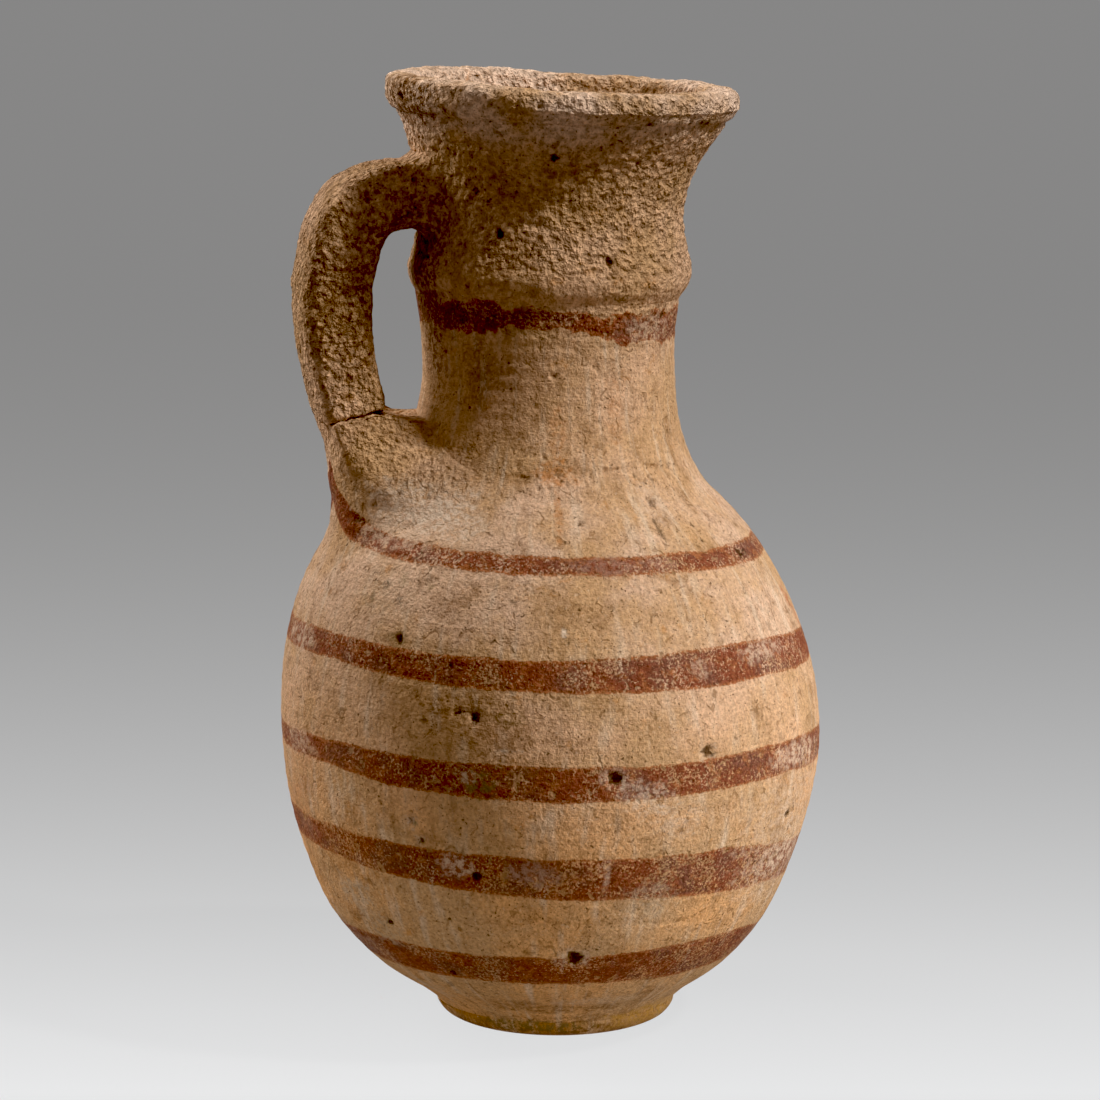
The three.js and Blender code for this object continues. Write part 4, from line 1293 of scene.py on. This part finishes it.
def slip_layer(recipe, clay, grain):
    """Red-brown slip inside the bands, worn off the grain, orange at the edges and purple in places."""
    depth = recipe.layer("slip_depth").outputs["Fac"]
    edge = recipe.sum("ADD", depth, ragged(recipe, "slip edge", SLIP_RAG))
    wear = recipe.patches("slip wear")
    flecks = recipe.ramp(recipe.sum("ADD", recipe.noise("slip flecks"), wear), "slip flecks")
    share = recipe.sum("MULTIPLY", recipe.ramp(edge, "slip edge"), flecks)
    unscratched = recipe.sum("MULTIPLY_ADD", grain.scratches, -SLIP_SCRATCH_SHARE, 1.0)
    share = recipe.sum("MULTIPLY", share, unscratched)
    tone = recipe.mix(recipe.patches("slip purple"), SLIP_RED, SLIP_PURPLE)
    tone = recipe.mix(recipe.ramp(edge, "slip thin edge"), tone, SLIP_ORANGE)
    tone = recipe.mix(recipe.patches("slip orange"), tone, SLIP_ORANGE)
    # The slip gets painted shade and light from the fine grain's relief too.
    return recipe.mix(share, clay, recipe.shaded(tone, recipe.ramp(grain.fine, "slip shade")))


def stain_and_painted_light_layer(recipe, colour):
    # Stains, and the painted shade and light among them
    stain_and_painted_light = recipe.layer("stain_and_painted_light")
    share = recipe.sum("MULTIPLY", stain_and_painted_light.outputs["Alpha"], recipe.patches("stains"))
    return recipe.mix(recipe.sum("MINIMUM", share, 1.0), colour, stain_and_painted_light.outputs["Color"])


def clay_relief(recipe, grain):
    """The grain's height in millimetres, with the drag of wiping, and pores and scratches cut into it."""
    drag = recipe.sum("MULTIPLY", recipe.noise("drag"), DRAG_RELIEF)
    relief = recipe.sum("MULTIPLY_ADD", grain.fine, FINE_RELIEF, drag)
    coarse = recipe.sum("MULTIPLY", grain.coarse, recipe.sum("MULTIPLY", grain.grit, COARSE_RELIEF))
    relief = recipe.sum("MULTIPLY_ADD", grain.pores, -PORE_DEPTH, recipe.sum("ADD", relief, coarse))
    return recipe.sum("MULTIPLY_ADD", grain.scratches, -SCRATCH_DEPTH, relief)


def clay_tone(recipe, lowest):
    """Pale clay round the belly, `lowest` under it, warmer clay on the neck, and a pale rim that is partly
    paler clay and partly painted light.
    """
    height = recipe.add("ShaderNodeSeparateXYZ", {"Vector": recipe.place}).outputs["Z"]
    tone = lowest
    for name, colour in (("belly", CLAY_PALE), ("shoulder", CLAY_NECK), ("mouth", RIM_CLAY_AND_LIGHT)):
        tone = recipe.mix(recipe.ramp(height, name), tone, colour)
    return tone


def clay_material(name, lowest):
    recipe = Recipe(name)
    grain = Grain(recipe)
    colour = slip_layer(recipe, clay_colour(recipe, clay_tone(recipe, lowest), grain), grain)
    # Pores are darkened: partly dirt, partly painted shade.
    pores = recipe.sum("MULTIPLY", grain.pores, PORE_SHADE_SHARE)
    colour = recipe.mix(pores, stain_and_painted_light_layer(recipe, colour), PIT_SHADE_AND_DIRT)
    # Pits, cracks, dents, the seam crack and the crease under the lip are darkened by their depth: painted
    # shade, with some dirt.
    recess = recipe.sum("ADD", recipe.layer("recess").outputs["Fac"], ragged(recipe, "recess", RECESS_RAG))
    colour = recipe.mix(recipe.ramp(recess, "recess"), colour, PIT_SHADE_AND_DIRT)
    bump = recipe.add("ShaderNodeBump", {
        "Height": clay_relief(recipe, grain),
        "Strength": 1.0,
        "Distance": MM,
    })
    return recipe.shade({
        "Base Color": colour,
        "Roughness": CLAY_ROUGHNESS,
        "Specular IOR Level": CLAY_SHEEN,
        "Normal": bump.outputs["Normal"],
    })


def banded_clay():
    return "banded_clay", clay_material("smooth_clay", CLAY_LOW)


def gritty_clay():
    return "gritty_clay", clay_material("coarse_clay", CLAY_LOW)


def foot_clay():
    return "foot_clay", clay_material("ochre_clay", CLAY_OCHRE)


def build_jug():
    banded, gritty, ochre = banded_clay(), gritty_clay(), foot_clay()
    clay_piece("jug_foot", "foot", ochre, foot_grid(), closed=False)
    bowl = wall_grid(FOOT_TOP, BELLY, BODY_STEP, INSIDE_STEP, FLOOR + FLOOR_POLE_GAP)
    clay_piece("jug_lower_body", "lower_body", banded, bowl, closed=False)
    for node, clay, low, high, step, inside_step in (
        ("upper_body", banded, BELLY, SHOULDER_SEAM, BODY_STEP, INSIDE_STEP),
        ("lower_neck", banded, SHOULDER_SEAM, RIDGE_FOOT, NECK_STEP, INSIDE_STEP),
        ("neck_ridge", gritty, RIDGE_FOOT, RIDGE_TOP, NECK_STEP, INSIDE_STEP),
        ("upper_neck", gritty, RIDGE_TOP, NECK_TOP, NECK_STEP, MOUTH_STEP),
    ):
        clay_piece("jug_" + node, node, clay, wall_grid(low, high, step, inside_step))
    clay_piece("jug_rim", "rim", gritty, rim_grid())
    clay_piece("jug_handle", "handle", gritty, strap_grid(), closed=False)
    clay_piece("jug_handle_pad", "handle_pad", gritty, pad_grid(), closed=False)


def away_from_camera(distance, rightward, height):
    """A point in metres, given as the camera sees it from the jug's foot."""
    back = np.array([math.sin(VIEW_TURN), math.cos(VIEW_TURN), 0])
    right = np.array([math.cos(VIEW_TURN), -math.sin(VIEW_TURN), 0])
    return (back * distance + right * rightward + np.array([0, 0, height])) * MM


def stage_material():
    """Pale paper that gets greyer away from the jug. Its glow is painted light, brightest near the jug, so
    that shadows on it stay faint.
    """
    recipe = Recipe("stage_paper")
    away = recipe.layer("away").outputs["Fac"]
    fading = recipe.sum("EXPONENT", recipe.sum("DIVIDE", away, -GREY_FALL))
    grey = recipe.sum("MULTIPLY_ADD", fading, GREY_NEAR, GREY_FAR)
    return recipe.shade({
        "Base Color": recipe.grey(recipe.sum("MULTIPLY", grey, PAPER_SHARE)),
        "Emission Color": recipe.mix(1.0, recipe.grey(grey), GLOW_TINT, "MULTIPLY"),
        "Emission Strength": GLOW_SHARE,
        "Roughness": 1.0,
        "Specular IOR Level": 0.0,
    })


def stage_outline():
    """The floor and the backdrops as (distance, height), from behind the camera to behind the jug."""
    turns = np.linspace(0, math.pi / 2, STAGE_POINTS)
    curve = [(STAGE_DEPTH + STAGE_CURVE * math.sin(t), STAGE_CURVE * (1 - math.cos(t))) for t in turns]
    flat = [(distance, 0) for distance in np.linspace(0, STAGE_DEPTH, STAGE_POINTS)]
    behind = flat + curve[1:] + [(STAGE_DEPTH + STAGE_CURVE, STAGE_WALL)]
    return [(-distance, height) for distance, height in behind[:0:-1]] + behind


def build_stage():
    """The sweep. It doesn't light the jug: the floor's own light comes from the two bounce lamps."""
    outline = stage_outline()
    corners = [
        tuple(away_from_camera(distance, side * STAGE_WIDTH / 2, height))
        for distance, height in outline
        for side in (-1, 1)
    ]
    faces = [(2 * row, 2 * row + 1, 2 * row + 3, 2 * row + 2) for row in range(len(outline) - 1)]
    mesh = bpy.data.meshes.new("stage_sweep")
    mesh.from_pydata(corners, [], faces)
    mesh.shade_smooth()
    away = np.repeat([abs(distance - GREY_NEAREST) + height for distance, height in outline], 2)
    add_layer(mesh, "away", "FLOAT", away)
    mesh.materials.append(stage_material())
    sweep = bpy.data.objects.new("stage_sweep", mesh)
    sweep.visible_diffuse = False
    bpy.context.scene.collection.objects.link(sweep)


def build_lamps():
    for name, (bearing, elevation, distance, size, power, colour, aim_height, spread) in LAMPS.items():
        aim = Vector((0, 0, aim_height * MM))
        level = distance * math.cos(math.radians(elevation))
        rise = distance * math.sin(math.radians(elevation))
        light = bpy.data.lights.new(name, "AREA")
        light.shape = "DISK"
        light.size = size * MM
        light.energy = power
        light.color = colour
        light.spread = math.radians(spread)
        lamp = bpy.data.objects.new(name, light)
        lamp.location = aim + Vector(placed(level, bearing, rise) * MM)
        lamp.rotation_euler = (aim - lamp.location).to_track_quat("-Z", "Y").to_euler()
        bpy.context.scene.collection.objects.link(lamp)


def build_world():
    world = bpy.data.worlds.new("soft_room")
    world.use_nodes = True
    background = world.node_tree.nodes["Background"]
    background.inputs["Color"].default_value = (*WORLD_COLOUR, 1)
    background.inputs["Strength"].default_value = WORLD_STRENGTH
    bpy.context.scene.world = world


def build_camera():
    data = bpy.data.cameras.new("camera")
    data.sensor_width = CAMERA_SENSOR
    data.lens = CAMERA_LENS
    data.clip_end = CAMERA_SIGHT * MM
    camera = bpy.data.objects.new("camera", data)
    camera.location = Vector(away_from_camera(-CAMERA_DISTANCE, 0, CAMERA_HEIGHT))
    flat = math.cos(CAMERA_PITCH)
    ahead = Vector((math.sin(VIEW_TURN) * flat, math.cos(VIEW_TURN) * flat, -math.sin(CAMERA_PITCH)))
    camera.rotation_euler = ahead.to_track_quat("-Z", "Y").to_euler()
    bpy.context.scene.collection.objects.link(camera)
    bpy.context.scene.camera = camera


def set_contrast():
    """Deep, warm shadows, as in the photograph's print."""
    settings = bpy.context.scene.view_settings
    settings.view_transform = "Standard"
    settings.use_curve_mapping = True
    settings.curve_mapping.black_level = BLACK_LEVEL
    settings.curve_mapping.update()


build_camera()
build_world()
build_lamps()
build_stage()
build_jug()
set_contrast()
